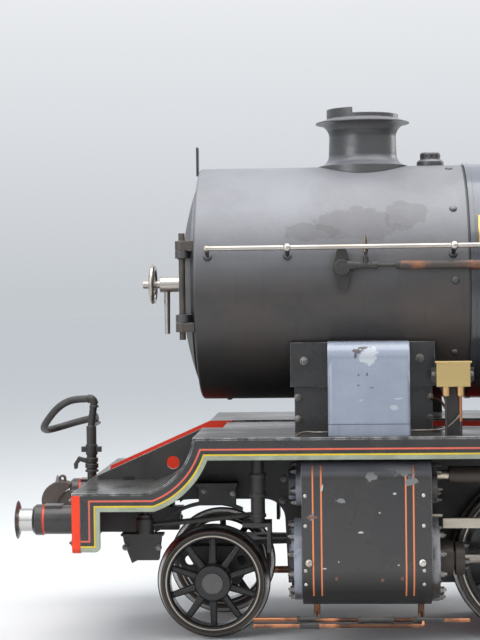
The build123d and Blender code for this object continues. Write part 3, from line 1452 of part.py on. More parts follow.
for hand, s in side_sign.items():
    dx, dz = polar(crank_throw, crank_angle[hand])
    rod_z = driver_z + dz
    coupling_mid_y = s * (coupling_inner_y + coupling_outer_y) / 2
    with BuildPart() as coupling_rod:
        for x0, x1 in zip(driver_x, driver_x[1:]):
            fluted_shank(
                s, coupling_inner_y, coupling_outer_y, (x0 + dx, rod_z), (x1 + dx, rod_z),
                (coupling_rod_height, coupling_rod_height), (coupling_eye_r + 16, coupling_eye_r + 16),
            )
        with BuildSketch(side(s * coupling_inner_y)) as eyes:
            for x in driver_x:
                with Locations((x + dx, rod_z)):
                    Circle(coupling_eye_r)
        extrude(eyes.sketch, amount=-s * (coupling_outer_y - coupling_inner_y))
        for x in driver_x:
            cup_z = rod_z + coupling_eye_r
            cup_top = (x + dx, coupling_mid_y, cup_z + oil_cup_height)
            rod_along((x + dx, coupling_mid_y, cup_z - 4), cup_top, oil_cup_r)
            rod_along(
                (x + dx, s * (coupling_inner_y - 1), rod_z), (x + dx, s * (coupling_outer_y + 1), rod_z),
                crankpin_r + pin_clearance, Mode.SUBTRACT,
            )
    keep(coupling_rod, f"coupling_rod_{hand}")

    wrist_x = crosshead_x(hand)
    connecting_mid_y = s * (connecting_inner_y + connecting_outer_y) / 2
    with BuildPart() as connecting_rod:
        fluted_shank(
            s, connecting_inner_y, connecting_outer_y, (wrist_x, cylinder_z), (main_x + dx, rod_z),
            connecting_rod_heights, (small_end_r + 22, big_end_r + 26),
        )
        with BuildSketch(side(s * connecting_inner_y)) as ends:
            with Locations((main_x + dx, rod_z)):
                Circle(big_end_r)
            with Locations((wrist_x, cylinder_z)):
                Circle(small_end_r)
        extrude(ends.sketch, amount=-s * (connecting_outer_y - connecting_inner_y))
        cup_z = rod_z + big_end_r
        rod_along(
            (main_x + dx, connecting_mid_y, cup_z - 4),
            (main_x + dx, connecting_mid_y, cup_z + oil_cup_height), oil_cup_r,
        )
        rod_along(
            (main_x + dx, s * (connecting_inner_y - 1), rod_z),
            (main_x + dx, s * (connecting_outer_y + 1), rod_z), crankpin_r + pin_clearance, Mode.SUBTRACT,
        )
        rod_along(
            (wrist_x, s * connecting_outer_y, cylinder_z),
            (wrist_x, s * (crosshead_inner_y - 1), cylinder_z), wrist_pin_r,
        )
    keep(connecting_rod, f"connecting_rod_{hand}")

    ex, ez = polar(eccentric_throw, crank_angle[hand] - eccentric_lag)
    strap_pin_x = main_x + ex
    strap_pin_z = driver_z + ez
    with BuildPart() as eccentric_rod:
        with BuildSketch(side(s * eccentric_rod_inner_y)):
            with Locations((strap_pin_x, strap_pin_z)):
                Circle(eccentric_big_r)
            with Locations((foot_x, foot_z)):
                Circle(eccentric_small_r)
            with BuildLine():
                Polyline(
                    (foot_x, foot_z - 10), (strap_pin_x, strap_pin_z - 13), (strap_pin_x, strap_pin_z + 13),
                    (foot_x, foot_z + 10), close=True,
                )
            make_face()
            with Locations((strap_pin_x, strap_pin_z)):
                Circle(eccentric_pin_r + pin_clearance, mode=Mode.SUBTRACT)
        extrude(amount=-s * (eccentric_rod_outer_y - eccentric_rod_inner_y))
        foot_pin_end = (foot_x, s * (link_inner_y - 1.5), foot_z)
        rod_along((foot_x, s * eccentric_rod_outer_y, foot_z), foot_pin_end, foot_pin_r)
    keep(eccentric_rod, f"eccentric_rod_{hand}")

    with BuildPart() as crosshead:
        with BuildSketch(side(s * crosshead_inner_y)) as body:
            with Locations((wrist_x, slide_bar_z + slide_bar_height / 2)):
                RectangleRounded(2 * crosshead_half, slide_bar_height + 2 * slipper, 6)
            with BuildLine():
                Polyline(
                    (wrist_x - 58, slide_bar_z - slipper + 2), (wrist_x - 40, cylinder_z),
                    (wrist_x + 36, cylinder_z), (wrist_x + 56, slide_bar_z - slipper + 2), close=True,
                )
            make_face()
            with Locations((wrist_x, cylinder_z)):
                Circle(38)
        extrude(body.sketch, amount=-s * (crosshead_outer_y - crosshead_inner_y))
        bar(
            wrist_x - crosshead_half - 5, wrist_x + crosshead_half + 5, s * (bar_inner_y - running_gap),
            s * (bar_outer_y + running_gap), slide_bar_z - running_gap, slide_bar_top_z + running_gap,
            Mode.SUBTRACT,
        )
        rod_along(
            (wrist_x - 90, s * cylinder_y, cylinder_z), (wrist_x - 20, s * cylinder_y, cylinder_z),
            cylinder_y - crosshead_inner_y - running_gap,
        )
        with BuildSketch(side(s * (crosshead_outer_y - 14))) as arm:
            with BuildLine():
                Polyline(
                    (wrist_x - 30, cylinder_z + 12), (wrist_x - drop_arm - 10, union_z),
                    (wrist_x - drop_arm + 12, union_z), (wrist_x + 10, cylinder_z - 20), close=True,
                )
            make_face()
            with Locations((wrist_x - drop_arm, union_z)):
                Circle(13)
        extrude(arm.sketch, amount=-s * 14)
        piston_end = (wrist_x - piston_rod_length, s * cylinder_y, cylinder_z)
        rod_along(piston_end, (wrist_x - 40, s * cylinder_y, cylinder_z), rod_r)
    keep(crosshead, f"crosshead_{hand}")

# Axleboxes in the horn gaps, with the stay across each gap and the leaf spring hung below it
box_inner_y = frame_inner_y - 16
box_outer_y = frame_outer_y + 6
stay_plate = 8
spring_inner_y = frame_inner_y - 4
spring_outer_y = frame_outer_y + 4
leaf = 8
leaf_halves = [150, 122, 94, 66, 38]
leaf_top_z = horn_bottom_z - 22
with BuildPart() as axleboxes:
    for x in driver_x:
        bar(x - horn_gap / 2, x + horn_gap / 2, -box_outer_y, -box_inner_y, horn_bottom_z, horn_top_z)
        bar(
            x - horn_gap / 2 - 16, x + horn_gap / 2 + 16, -spring_outer_y, -spring_inner_y,
            horn_bottom_z - stay_plate, horn_bottom_z,
        )
        bar(x - 14, x + 14, -spring_outer_y, -spring_inner_y, leaf_top_z - 44, horn_bottom_z - stay_plate)
        for i, half in enumerate(leaf_halves):
            top = leaf_top_z - i * leaf
            bar(x - half, x + half, -spring_outer_y, -spring_inner_y, top - leaf, top)
        for end_x in (x - leaf_halves[0] + 7, x + leaf_halves[0] - 7):
            bar(end_x - 7, end_x + 7, -spring_outer_y, -spring_inner_y, leaf_top_z, horn_bottom_z)
        rod_along(
            (x, -box_outer_y - 1, driver_z), (x, -box_inner_y + 1, driver_z),
            axle_r + pin_clearance, Mode.SUBTRACT,
        )
    mirror(about=Plane.XZ)
keep(axleboxes, "axleboxes")

# Brake gear: a hanger with its block behind each coupled wheel, cross beams and the pull rods
block_clearance = 6
block_plate = 18
hanger_offset = driver_tread_r + block_clearance + block_plate + 1
hanger_inner_y = wheel_back_y + 32
hanger_outer_y = hanger_inner_y + 12
brake_block_y = (wheel_back_y + 23, wheel_face_y - 4)
hanger_top_z = 400
cross_beam_z = 100
pull_rod_y = 60
block_spread = 24
with BuildPart() as brake_gear:
    for axle_x in driver_x:
        hanger_x = axle_x + hanger_offset
        inner_r = driver_tread_r + block_clearance
        outer_r = inner_r + block_plate
        with BuildSketch(side(-brake_block_y[0])) as block:
            with BuildLine():
                arcs = []
                for radius in (inner_r, outer_r):
                    points = [polar(radius, angle) for angle in (-block_spread, 0, block_spread)]
                    arcs.append([(axle_x + px, driver_z + pz) for px, pz in points])
                    ThreePointArc(*arcs[-1])
                Line(arcs[0][0], arcs[1][0])
                Line(arcs[0][2], arcs[1][2])
            make_face()
        extrude(block.sketch, amount=brake_block_y[1] - brake_block_y[0])
        with BuildSketch(side(-hanger_inner_y)) as hanger:
            with Locations((hanger_x, (hanger_top_z + cross_beam_z) / 2)):
                Rectangle(16, hanger_top_z - cross_beam_z)
            for z in (hanger_top_z, cross_beam_z):
                with Locations((hanger_x, z)):
                    Circle(13)
        extrude(hanger.sketch, amount=hanger_outer_y - hanger_inner_y)
        rod_along((hanger_x, -frame_outer_y, hanger_top_z), (hanger_x, -hanger_outer_y - 4, hanger_top_z), 9)
        rod_along((hanger_x, -hanger_outer_y - 4, cross_beam_z), (hanger_x, 0, cross_beam_z), 9)
    pull_start = driver_x[0] + hanger_offset
    pull_end = driver_x[-1] + hanger_offset
    bar(pull_start, pull_end, -pull_rod_y - 5, -pull_rod_y + 5, cross_beam_z - 8, cross_beam_z + 8)
    mirror(about=Plane.XZ)
keep(brake_gear, "brake_gear")

# Gear beside the pony wheels: bracket with spring cap, slanted rod, column below the deck and arched bar
gear_y = 300
gear_x = pony_x - 185
column_x = pony_x + 139
column_y = 360
gear_bracket_y = (gear_y - 18, gear_y + 18)
arch_bar_y = (186, 206)
with BuildPart() as pony_control_gear:
    with BuildSketch(side(-gear_bracket_y[0])):
        with BuildLine():
            Polyline(
                (pony_x - 247, 313), (pony_x - 244, 296), (pony_x - 222, 236), (pony_x - 205, 244),
                (pony_x - 146, 244), (pony_x - 138, 313), close=True,
            )
        make_face()
    extrude(amount=gear_bracket_y[1] - gear_bracket_y[0])
    bar(pony_x - 252, pony_x - 132, -gear_bracket_y[1] - 6, -gear_bracket_y[0] + 6, 313, 319)
    rod_along((gear_x, -gear_y, 319), (gear_x, -gear_y, 360), 26)
    rod_along((gear_x, -gear_y, 360), (gear_x, -gear_y, 372), 20)
    rod_along((gear_x, -gear_y, 372), (gear_x, -gear_y, deck_bottom_z), 10)
    rod_along((gear_x, -gear_y, 340), (pony_x + 128, -gear_y, 371), 8)
    for start, end, radius in (
        (343, 356, 24), (356, 372, 19), (372, 380, 23), (380, 430, 20), (430, 438, 24), (438, 484, 21),
        (484, 492, 24), (492, frame_top_z, 17),
    ):
        rod_along((column_x, -column_y, start), (column_x, -column_y, end), radius)
    bar(pony_x + 96, pony_x + 175, -column_y - 26, -gear_y + 10, 346, 356)
    bar(pony_x + 165, pony_x + 175, -column_y - 26, -gear_y + 10, 275, 346)
    bar(pony_x + 120, pony_x + 136, -gear_y - 8, -gear_y + 8, 356, 384)
    bar(pony_x - 48, pony_x + 71, -arch_bar_y[1], -frame_outer_y, 438, 448)
    bar(pony_x - 40, pony_x + 68, -arch_bar_y[1], -arch_bar_y[0] - 6, 384, 438)
    with BuildSketch(side(-arch_bar_y[0])) as arch_bar:
        with BuildLine():
            ThreePointArc((pony_x - 133, 353), (pony_x - 18, 396), (pony_x + 87, 376))
            Line((pony_x + 87, 376), (pony_x + 87, 366))
            ThreePointArc((pony_x + 87, 366), (pony_x - 18, 386), (pony_x - 133, 343))
            Line((pony_x - 133, 343), (pony_x - 133, 353))
        make_face()
    extrude(arch_bar.sketch, amount=arch_bar_y[1] - arch_bar_y[0])
    mirror(about=Plane.XZ)
keep(pony_control_gear, "pony_control_gear")

# Drain pipes under the cylinders, from the cock at each end of the bore
cladding_bottom_z = cylinder_z - cylinder_r - cladding_plate
drain_y = 436
drain_z = 98
front_drain_y = 428
low_drain_y = 446
low_drain_z = 84
drain_front_x = pony_x + 126
drain_rear_x = pony_x + 717
cock_x = (pony_x + 300, pony_x + 590)
drain_pipe_r = 6
with BuildPart() as drain_pipes:
    rod_along((drain_front_x, -front_drain_y, drain_z), (cock_x[0], -front_drain_y, drain_z), drain_pipe_r)
    low_end = (cock_x[1], -low_drain_y, low_drain_z)
    rod_along((drain_front_x, -low_drain_y, low_drain_z), low_end, drain_pipe_r)
    rod_along(low_end, (cock_x[1], -drain_y, drain_z), drain_pipe_r)
    rod_along((cock_x[0], -drain_y, drain_z), (drain_rear_x, -drain_y, drain_z), drain_pipe_r)
    for x in cock_x:
        rod_along((x, -cylinder_y, drain_z), (x, -drain_y, drain_z), drain_pipe_r - 1)
        rod_along((x, -cylinder_y, drain_z - 6), (x, -cylinder_y, cladding_bottom_z - curved_seat_gap), 9)
    mirror(about=Plane.XZ)
keep(drain_pipes, "drain_pipes")

# Steam fitting on the smokebox side with its lagged pipe, and the lubricators beside the saddle
pipe_y = firebox_r + 13
pipe_z = 1068
fitting_x = pony_x + 380
fitting_z = 1058
fitting_bolt_spacing = 86
lubricator_x = (pony_x + 632, pony_x + 723)
lubricator_z = (736, 800)
lubricator_y = (431, 465)
bracket_y = 425
with BuildPart() as steam_fittings:
    with BuildSketch(side(-smokebox_r + 14)) as flange:
        with BuildLine():
            half = fitting_bolt_spacing / 2
            points = [polar(17, angle) for angle in (30, 90, 150)]
            upper = [(fitting_x + px, fitting_z + half + pz) for px, pz in points]
            lower = [(fitting_x + px, fitting_z - half - pz) for px, pz in points]
            ThreePointArc(*upper)
            ThreePointArc(*lower)
            Polyline(upper[2], (fitting_x - 26, fitting_z), lower[2])
            Polyline(upper[0], (fitting_x + 26, fitting_z), lower[0])
        make_face()
    extrude(flange.sketch, amount=26)
    with BuildSketch(across(fitting_x - 60)) as shell:
        with Locations((0, boiler_axis_z)):
            Circle(smokebox_r + curved_seat_gap)
    extrude(shell.sketch, amount=120, mode=Mode.SUBTRACT)
    rod_along((fitting_x, -smokebox_r - 6, pipe_z - 4), (fitting_x, -pipe_y - 12, pipe_z - 4), 21)
    for start, end, radius in (
        (0, 34, 13), (34, 50, 10), (50, 82, 8), (82, 98, 10), (98, 150, 5), (150, 162, 11),
    ):
        rod_along((fitting_x + start, -pipe_y, pipe_z), (fitting_x + end, -pipe_y, pipe_z), radius)
    for start, end, radius in ((0, 26, 8), (26, 38, 5), (38, 52, 7), (52, 74, 4), (74, 82, 2.5)):
        rod_along((fitting_x + 66, -pipe_y, pipe_z + start), (fitting_x + 66, -pipe_y, pipe_z + end), radius)
    rod_along((fitting_x + 162, -pipe_y, pipe_z), (cab_x, -pipe_y, pipe_z), 12)
    for s in (-1, 1):
        with BuildSketch(side(s * bracket_y)) as bracket:
            with BuildLine():
                Polyline(
                    (lubricator_x[0] - 12, 786), (lubricator_x[0] - 12, 752), (lubricator_x[0] + 14, 728),
                    (lubricator_x[0] + 24, 690), (lubricator_x[0] + 24, deck_top_z),
                    (lubricator_x[1] - 28, deck_top_z), (lubricator_x[1] - 28, 690),
                    (lubricator_x[1] - 14, 728), (lubricator_x[1] + 12, 752), (lubricator_x[1] + 12, 786),
                    close=True,
                )
            make_face()
        extrude(bracket.sketch, amount=-s * (lubricator_y[0] - bracket_y))
        bar(*lubricator_x, s * lubricator_y[0], s * lubricator_y[1], *lubricator_z)
        bar(
            lubricator_x[0] - 4, lubricator_x[1] + 4, s * lubricator_y[0], s * (lubricator_y[1] + 4),
            lubricator_z[1], lubricator_z[1] + 5,
        )
        for x in (lubricator_x[0] + 26, lubricator_x[1] - 26):
            rod_along((x, s * 448, lubricator_z[0] - 26), (x, s * 448, lubricator_z[0]), 10)
            rod_along((x, s * 448, deck_top_z), (x, s * 448, lubricator_z[0] - 26), 4)
keep(steam_fittings, "steam_pipe_and_lubricators")

# Vacuum standpipe in front of the beam, its elbow, and the dummy plug that holds the hose's far end
hose_r = 11
standpipe_x = beam_x - 15
elbow_x = beam_x - 6
elbow_end_x = beam_x - 24
elbow_z = 682
pipe_r = 11
plug = (pony_x - 410, 168, 609)
last_bend = (pony_x - 449, 176, 600)
with BuildPart() as vacuum_standpipe:
    for start, end, radius in (
        (430, 462, 14), (462, 468, 20), (468, 474, 16), (474, 486, 20), (486, 492, 16),
        (492, 504, 19), (504, 514, 15), (514, 544, 18), (544, 600, 15),
    ):
        rod_along((standpipe_x, 0, start), (standpipe_x, 0, end), radius)
    bar(standpipe_x - 30, standpipe_x + 30, -9, 9, 522, 538)
    bar(standpipe_x, beam_x, -12, 12, 430, deck_bottom_z - 1)
    with BuildSketch(side(8)):
        with BuildLine():
            Polyline(
                (standpipe_x - 10, 500), (standpipe_x - 40, 508), (standpipe_x - 54, 486),
                (standpipe_x - 52, 470), (standpipe_x - 44, 472), (standpipe_x - 42, 486),
                (standpipe_x - 34, 494), (standpipe_x - 10, 486), close=True,
            )
        make_face()
    extrude(amount=16)
    rod_along((standpipe_x, 0, 600), (elbow_x, 0, elbow_z - 12), pipe_r)
    rod_along((elbow_x, 0, elbow_z - 26), (elbow_x, 0, elbow_z - 20), pipe_r + 3)
    with BuildSketch(Plane(origin=(elbow_x, 0, elbow_z - 14), z_dir=(0, 0, 1))) as bend:
        Circle(pipe_r + 2)
    revolve(bend.sketch, axis=Axis((elbow_x - 14, 0, elbow_z - 14), (0, -1, 0)), revolution_arc=90)
    rod_along((elbow_x - 14, 0, elbow_z), (elbow_end_x, 0, elbow_z), pipe_r + 2)
    rod_along((standpipe_x, 0, plug[2] - 12), (standpipe_x, plug[1], plug[2] - 12), 5)
    rod_along((standpipe_x, plug[1], plug[2] - 12), (plug[0] + 16, plug[1], plug[2] - 12), 5)
    plug_axis = (Vector(*plug) - Vector(*last_bend)).normalized()
    rod_along(plug, tuple(Vector(*plug) + 26 * plug_axis), 13)
keep(vacuum_standpipe, "vacuum_standpipe")

# The hose: out of the elbow, round to the far side and back on to the dummy plug
hose_route = [
    (elbow_end_x, 0, elbow_z), (pony_x - 424, 0, elbow_z), (pony_x - 459, 0, 672), (pony_x - 488, 4, 650),
    (pony_x - 510, 17, 625), (pony_x - 528, 40, 603), (pony_x - 539, 74, 587), (pony_x - 538, 113, 579),
    (pony_x - 521, 149, 580), (pony_x - 489, 172, 588), last_bend, plug,
]
hose_radii = []
for before, corner, after in zip(hose_route, hose_route[1:], hose_route[2:]):
    run_in = Vector(*corner) - Vector(*before)
    run_out = Vector(*after) - Vector(*corner)
    half_turn = radians(run_in.get_angle(run_out) / 2)
    hose_radii.append(0.45 * min(run_in.length, run_out.length) / tan(half_turn))
print("hose radii", [round(r) for r in hose_radii])
with BuildPart() as vacuum_hose:
    with BuildLine() as hose_line:
        hose_path = FilletPolyline(*hose_route, radius=hose_radii)
    with BuildSketch(Plane(origin=hose_path @ 0, z_dir=hose_path % 0)):
        Circle(hose_r)
    sweep()
hose_volume = pi * hose_r**2 * hose_path.length
print("hose volume over section times length", round(vacuum_hose.part.volume / hose_volume, 4))
keep(vacuum_hose, "vacuum_hose")
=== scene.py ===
# %% [markdown]
# # A miniature main-line steam locomotive
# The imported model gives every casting, plate and rod at its real place. This file gives them their
# finishes, and adds what is too small for the model: nuts, rivets, painted lines, pipes and gauges.
# Each step says what the real thing is, how it could be made, and why this way was taken.

import bpy
import bmesh
from math import atan2, cos, hypot, pi, radians, sin
from mathutils import Matrix, Vector


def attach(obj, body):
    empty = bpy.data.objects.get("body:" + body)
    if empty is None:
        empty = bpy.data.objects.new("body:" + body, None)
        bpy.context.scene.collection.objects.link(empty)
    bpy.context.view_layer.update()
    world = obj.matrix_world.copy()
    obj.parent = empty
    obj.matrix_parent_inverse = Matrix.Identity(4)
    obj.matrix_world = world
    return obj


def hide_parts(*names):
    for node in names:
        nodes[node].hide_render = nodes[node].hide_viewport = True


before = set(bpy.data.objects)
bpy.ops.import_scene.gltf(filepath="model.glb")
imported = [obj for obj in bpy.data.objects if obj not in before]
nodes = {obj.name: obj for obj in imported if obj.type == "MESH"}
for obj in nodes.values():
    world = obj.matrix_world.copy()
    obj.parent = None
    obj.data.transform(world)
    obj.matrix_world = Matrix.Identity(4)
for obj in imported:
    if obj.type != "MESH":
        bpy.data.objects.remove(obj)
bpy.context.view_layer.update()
scene = bpy.context.scene

# %% [markdown]
# ## Places
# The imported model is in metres, and its drawing was made in millimetres. The same few places are named
# here, so that a nut sits where its cover is. X runs to the rear from the middle, and Y to the right.

# %% Name the places on the engine
MM = 0.001
PONY_X = -1600
BEAM_X = -1965
BLOCK_X = -1338
BLOCK_END_X = -983
SMOKEBOX_X = -1637
BARREL_X = -862
FLOOR_X = 1328
CAB_X = 1150
CAB_END_X = 2020
REAR_X = 2150
DRIVER_X = [-685, -190, 305, 800]
DRIVER_Z = 234.5
TRAILING_X = 1560
PONY_Z = 164.5
BOILER_Z = 1023.5
SMOKEBOX_R = 343.5
DECK_Z = 603
HALF_WIDTH = 485
CYLINDER_Y = 330
CYLINDER_Z = 250
VALVE_Y = 350
VALVE_Z = 463
CAB_SIDE_Y = 480


def at(x, y, z):
    """A place given in millimetres, as a vector in metres."""
    return Vector((x, y, z)) * MM


# %% [markdown]
# ## Camera
# The picture was taken from the side with a long lens. The horizon, the vanishing point of the lines
# across the engine, and the wheel's size gave the camera's place and turn. A tracked camera would do for a
# product shot, but a matrix of its three axes keeps the small roll of a hand-held picture.

# %% Set the camera
camera_data = bpy.data.cameras.new("camera")
camera_data.lens = 93.94
camera_data.sensor_width = 36
camera_data.clip_end = 150
camera = bpy.data.objects.new("camera", camera_data)
scene.collection.objects.link(camera)
to_right = Vector((0.99814, 0.05976, -0.01243))
to_top = Vector((0.01138, 0.01793, 0.99977))
to_back = Vector((0.05997, -0.99805, 0.01722))
turn = Matrix((to_right, to_top, to_back)).transposed().to_4x4()
camera.matrix_world = Matrix.Translation((-1.226, -5.0, 1.001)) @ turn
scene.camera = camera
print("camera at", camera.matrix_world.translation[:])

# %% [markdown]
# ## Vacuum hose
# The brake hose is a rubber tube on the elbow of the standpipe, and its free end hangs on a dummy plug.
# It is one smooth NURBS line with a round section. Its control points are the route of the imported tube,
# so the hose takes a natural bend with no kinks, and its true length is printed at the end. The thickness
# is on the points, each a radius in metres, because Blender measures a curve's box by them.


# %% Lay the hose
def make_tube(name, places, radius, smoothness):
    """A round tube led by a row of places, sizes in millimetres. It starts and ends on the outer two."""
    curve = bpy.data.curves.new(name, "CURVE")
    curve.dimensions = "3D"
    curve.bevel_depth = 1.0
    curve.bevel_resolution = smoothness
    curve.use_fill_caps = True
    line = curve.splines.new("NURBS")
    line.points.add(len(places) - 1)
    for point, place in zip(line.points, places):
        point.co = (*at(*place), 1)
        point.radius = radius * MM
    line.order_u = 3
    line.use_endpoint_u = True
    tube = bpy.data.objects.new(name, curve)
    scene.collection.objects.link(tube)
    return tube


hose_route = [
    (BEAM_X - 24, 0, 682), (PONY_X - 424, 0, 682), (PONY_X - 459, 0, 672), (PONY_X - 488, 4, 650),
    (PONY_X - 510, 17, 625), (PONY_X - 528, 40, 603), (PONY_X - 539, 74, 587), (PONY_X - 538, 113, 579),
    (PONY_X - 521, 149, 580), (PONY_X - 489, 172, 588), (PONY_X - 449, 176, 600), (PONY_X - 410, 168, 609),
]
vacuum_hose = make_tube("vacuum_hose_rubber", hose_route, 11, 6)
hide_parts("vacuum_hose")
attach(vacuum_hose, "chassis")
print("hose length", round(vacuum_hose.data.splines[0].calc_length(), 3), "m")

# %% [markdown]
# ## Finishes: the shared effects
# An engine in steam is never one colour. Paint mottles, dust settles on what faces up, edges rub bright
# and castings keep their sand grain. Each effect is one shader group with named sockets, placed in every
# material that needs it. Image textures would tie the look to one size, and these follow any piece.


# %% Short ways to add shader nodes
def join(tree, kind, sockets=None, **settings):
    """Adds a node, sets its options, and fills or links its inputs."""
    node = tree.nodes.new(kind)
    for name, value in settings.items():
        setattr(node, name, value)
    for name, value in (sockets or {}).items():
        if isinstance(value, bpy.types.NodeSocket):
            tree.links.new(value, node.inputs[name])
        else:
            node.inputs[name].default_value = value
    return node


def own_place(tree):
    """Places on the piece itself, so that a pattern moves with it."""
    return join(tree, "ShaderNodeTexCoord").outputs["Object"]


def number_step(tree, operation, first, second):
    """Arithmetic on two numbers or masks."""
    return join(tree, "ShaderNodeMath", {0: first, 1: second}, operation=operation).outputs[0]


def vector_step(tree, operation, *vectors):
    """Arithmetic on vectors: the result is [0], or ["Value"] where it is a number."""
    return join(tree, "ShaderNodeVectorMath", dict(enumerate(vectors)), operation=operation).outputs


def times(tree, mask, *factors):
    """A mask multiplied by other masks and amounts."""
    for factor in factors:
        mask = number_step(tree, "MULTIPLY", mask, factor)
    return mask


def spread(tree, value, low, high, to_low=0.0, to_high=1.0):
    """Stretches the range from low to high over 0 to 1, or over another range."""
    ends = {"Value": value, "From Min": low, "From Max": high, "To Min": to_low, "To Max": to_high}
    return join(tree, "ShaderNodeMapRange", ends).outputs[0]


def noise_at(tree, place, scale, detail, roughness=0.5):
    """Noise at a place, as a value and a colour."""
    sockets = {"Vector": place, "Scale": scale, "Detail": detail, "Roughness": roughness}
    return join(tree, "ShaderNodeTexNoise", sockets).outputs


def facing_up(tree):
    """How far a surface faces up: 1 on top, 0 on a wall and -1 below."""
    outward = join(tree, "ShaderNodeNewGeometry").outputs["Normal"]
    return join(tree, "ShaderNodeSeparateXYZ", {0: outward}).outputs["Z"]


def start_group(name, inputs, outputs=("Mask",)):
    """A shader group with named inputs (name: default) and outputs, of which Normal is a vector."""
    tree = bpy.data.node_groups.new(name, "ShaderNodeTree")
    for label, default in inputs.items():
        kind = "NodeSocketVector" if isinstance(default, tuple) else "NodeSocketFloat"
        tree.interface.new_socket(label, in_out="INPUT", socket_type=kind).default_value = default
    for label in outputs:
        kind = "NodeSocketVector" if label == "Normal" else "NodeSocketFloat"
        tree.interface.new_socket(label, in_out="OUTPUT", socket_type=kind)
    return tree, tree.nodes.new("NodeGroupInput").outputs, tree.nodes.new("NodeGroupOutput").inputs


# %% Effect: uneven patches, from mottled paint to long streaks
patches, given, result = start_group(
    "Uneven Patches", {"Scale": 6.0, "Stretch": (1.0, 1.0, 1.0), "Low": 0.4, "High": 0.6, "Detail": 4.0}
)
stretched = vector_step(patches, "MULTIPLY", own_place(patches), given["Stretch"])[0]
noise = noise_at(patches, stretched, given["Scale"], given["Detail"], 0.6)["Fac"]
patches.links.new(spread(patches, noise, given["Low"], given["High"]), result["Mask"])

# %% Effect: worn edges, where the surface turns within a small radius
worn_edges, given, result = start_group(
    "Worn Edges", {"Radius": 0.004, "Breaks": 25.0, "Amount": 1.0}, outputs=("Mask", "Normal")
)
rounded = join(worn_edges, "ShaderNodeBevel", {"Radius": given["Radius"]}, samples=4).outputs[0]
outward = join(worn_edges, "ShaderNodeNewGeometry").outputs["Normal"]
match = vector_step(worn_edges, "DOT_PRODUCT", rounded, outward)["Value"]
turned = spread(worn_edges, match, 0.985, 0.86)
noise = noise_at(worn_edges, own_place(worn_edges), given["Breaks"], 5.0)["Fac"]
broken = spread(worn_edges, noise, 0.36, 0.58)
worn_edges.links.new(times(worn_edges, turned, broken, given["Amount"]), result["Mask"])
worn_edges.links.new(rounded, result["Normal"])

# %% Effect: dust that has settled on what faces up
settled_dust, given, result = start_group("Settled Dust", {"Amount": 0.5, "Scale": 9.0, "From": 0.5})
upward = spread(settled_dust, facing_up(settled_dust), given["From"], 1.0)
noise = noise_at(settled_dust, own_place(settled_dust), given["Scale"], 6.0)["Fac"]
broken = spread(settled_dust, noise, 0.3, 0.7)
settled_dust.links.new(times(settled_dust, upward, broken, given["Amount"]), result["Mask"])

# %% Effect: painted light: a pale painted sheen that thickens as a surface turns up, or painted shade as it turns down
painted_light_by_facing, given, result = start_group("Painted Light By Facing", {"Low": -0.05, "High": 0.85, "Amount": 0.7, "Scale": 3.0})
turned = spread(painted_light_by_facing, facing_up(painted_light_by_facing), given["Low"], given["High"])
noise = noise_at(painted_light_by_facing, own_place(painted_light_by_facing), given["Scale"], 8.0, 0.62)["Fac"]
uneven = spread(painted_light_by_facing, noise, 0.3, 0.7, 0.62, 1.12)
painted_light_by_facing.links.new(times(painted_light_by_facing, turned, uneven, given["Amount"]), result["Mask"])

# %% Effect: surface grain as a bumped normal
surface_grain, given, result = start_group(
    "Surface Grain",
    {"Scale": 300.0, "Stretch": (1.0, 1.0, 1.0), "Depth": 0.0003, "Normal": (0.0, 0.0, 1.0)},
    outputs=("Normal",),
)
stretched = vector_step(surface_grain, "MULTIPLY", own_place(surface_grain), given["Stretch"])[0]
noise = noise_at(surface_grain, stretched, given["Scale"], 3.0)["Fac"]
grain_bump = join(
    surface_grain, "ShaderNodeBump",
    {"Height": noise, "Distance": given["Depth"], "Normal": given["Normal"], "Strength": 1.0},
)
surface_grain.links.new(grain_bump.outputs[0], result["Normal"])

# %% Effect: a painted zone inside a box
box_zone, given, result = start_group(
    "Box Zone", {"Low": (-1.0, -1.0, -1.0), "High": (1.0, 1.0, 1.0), "Softness": 0.0004}
)
place = own_place(box_zone)
above = vector_step(box_zone, "SUBTRACT", place, given["Low"])[0]
below = vector_step(box_zone, "SUBTRACT", given["High"], place)[0]
nearest = vector_step(box_zone, "MINIMUM", above, below)[0]
depths = join(box_zone, "ShaderNodeSeparateXYZ", {0: nearest}).outputs
least = number_step(box_zone, "MINIMUM", depths["X"], depths["Y"])
least = number_step(box_zone, "MINIMUM", least, depths["Z"])
box_zone.links.new(spread(box_zone, least, 0.0, given["Softness"]), result["Mask"])

# %% Effect: a painted ring, between two distances from a line
ring_zone, given, result = start_group(
    "Ring Zone",
    {"Centre": (0.0, 0.0, 0.0), "Across": (1.0, 0.0, 1.0), "Inner": 0.1, "Outer": 0.2, "Softness": 0.0006},
)
offset = vector_step(ring_zone, "SUBTRACT", own_place(ring_zone), given["Centre"])[0]
flat = vector_step(ring_zone, "MULTIPLY", offset, given["Across"])[0]
reach = vector_step(ring_zone, "LENGTH", flat)["Value"]
past = number_step(ring_zone, "SUBTRACT", reach, given["Inner"])
short = number_step(ring_zone, "SUBTRACT", given["Outer"], reach)
least = number_step(ring_zone, "MINIMUM", past, short)
ring_zone.links.new(spread(ring_zone, least, 0.0, given["Softness"]), result["Mask"])

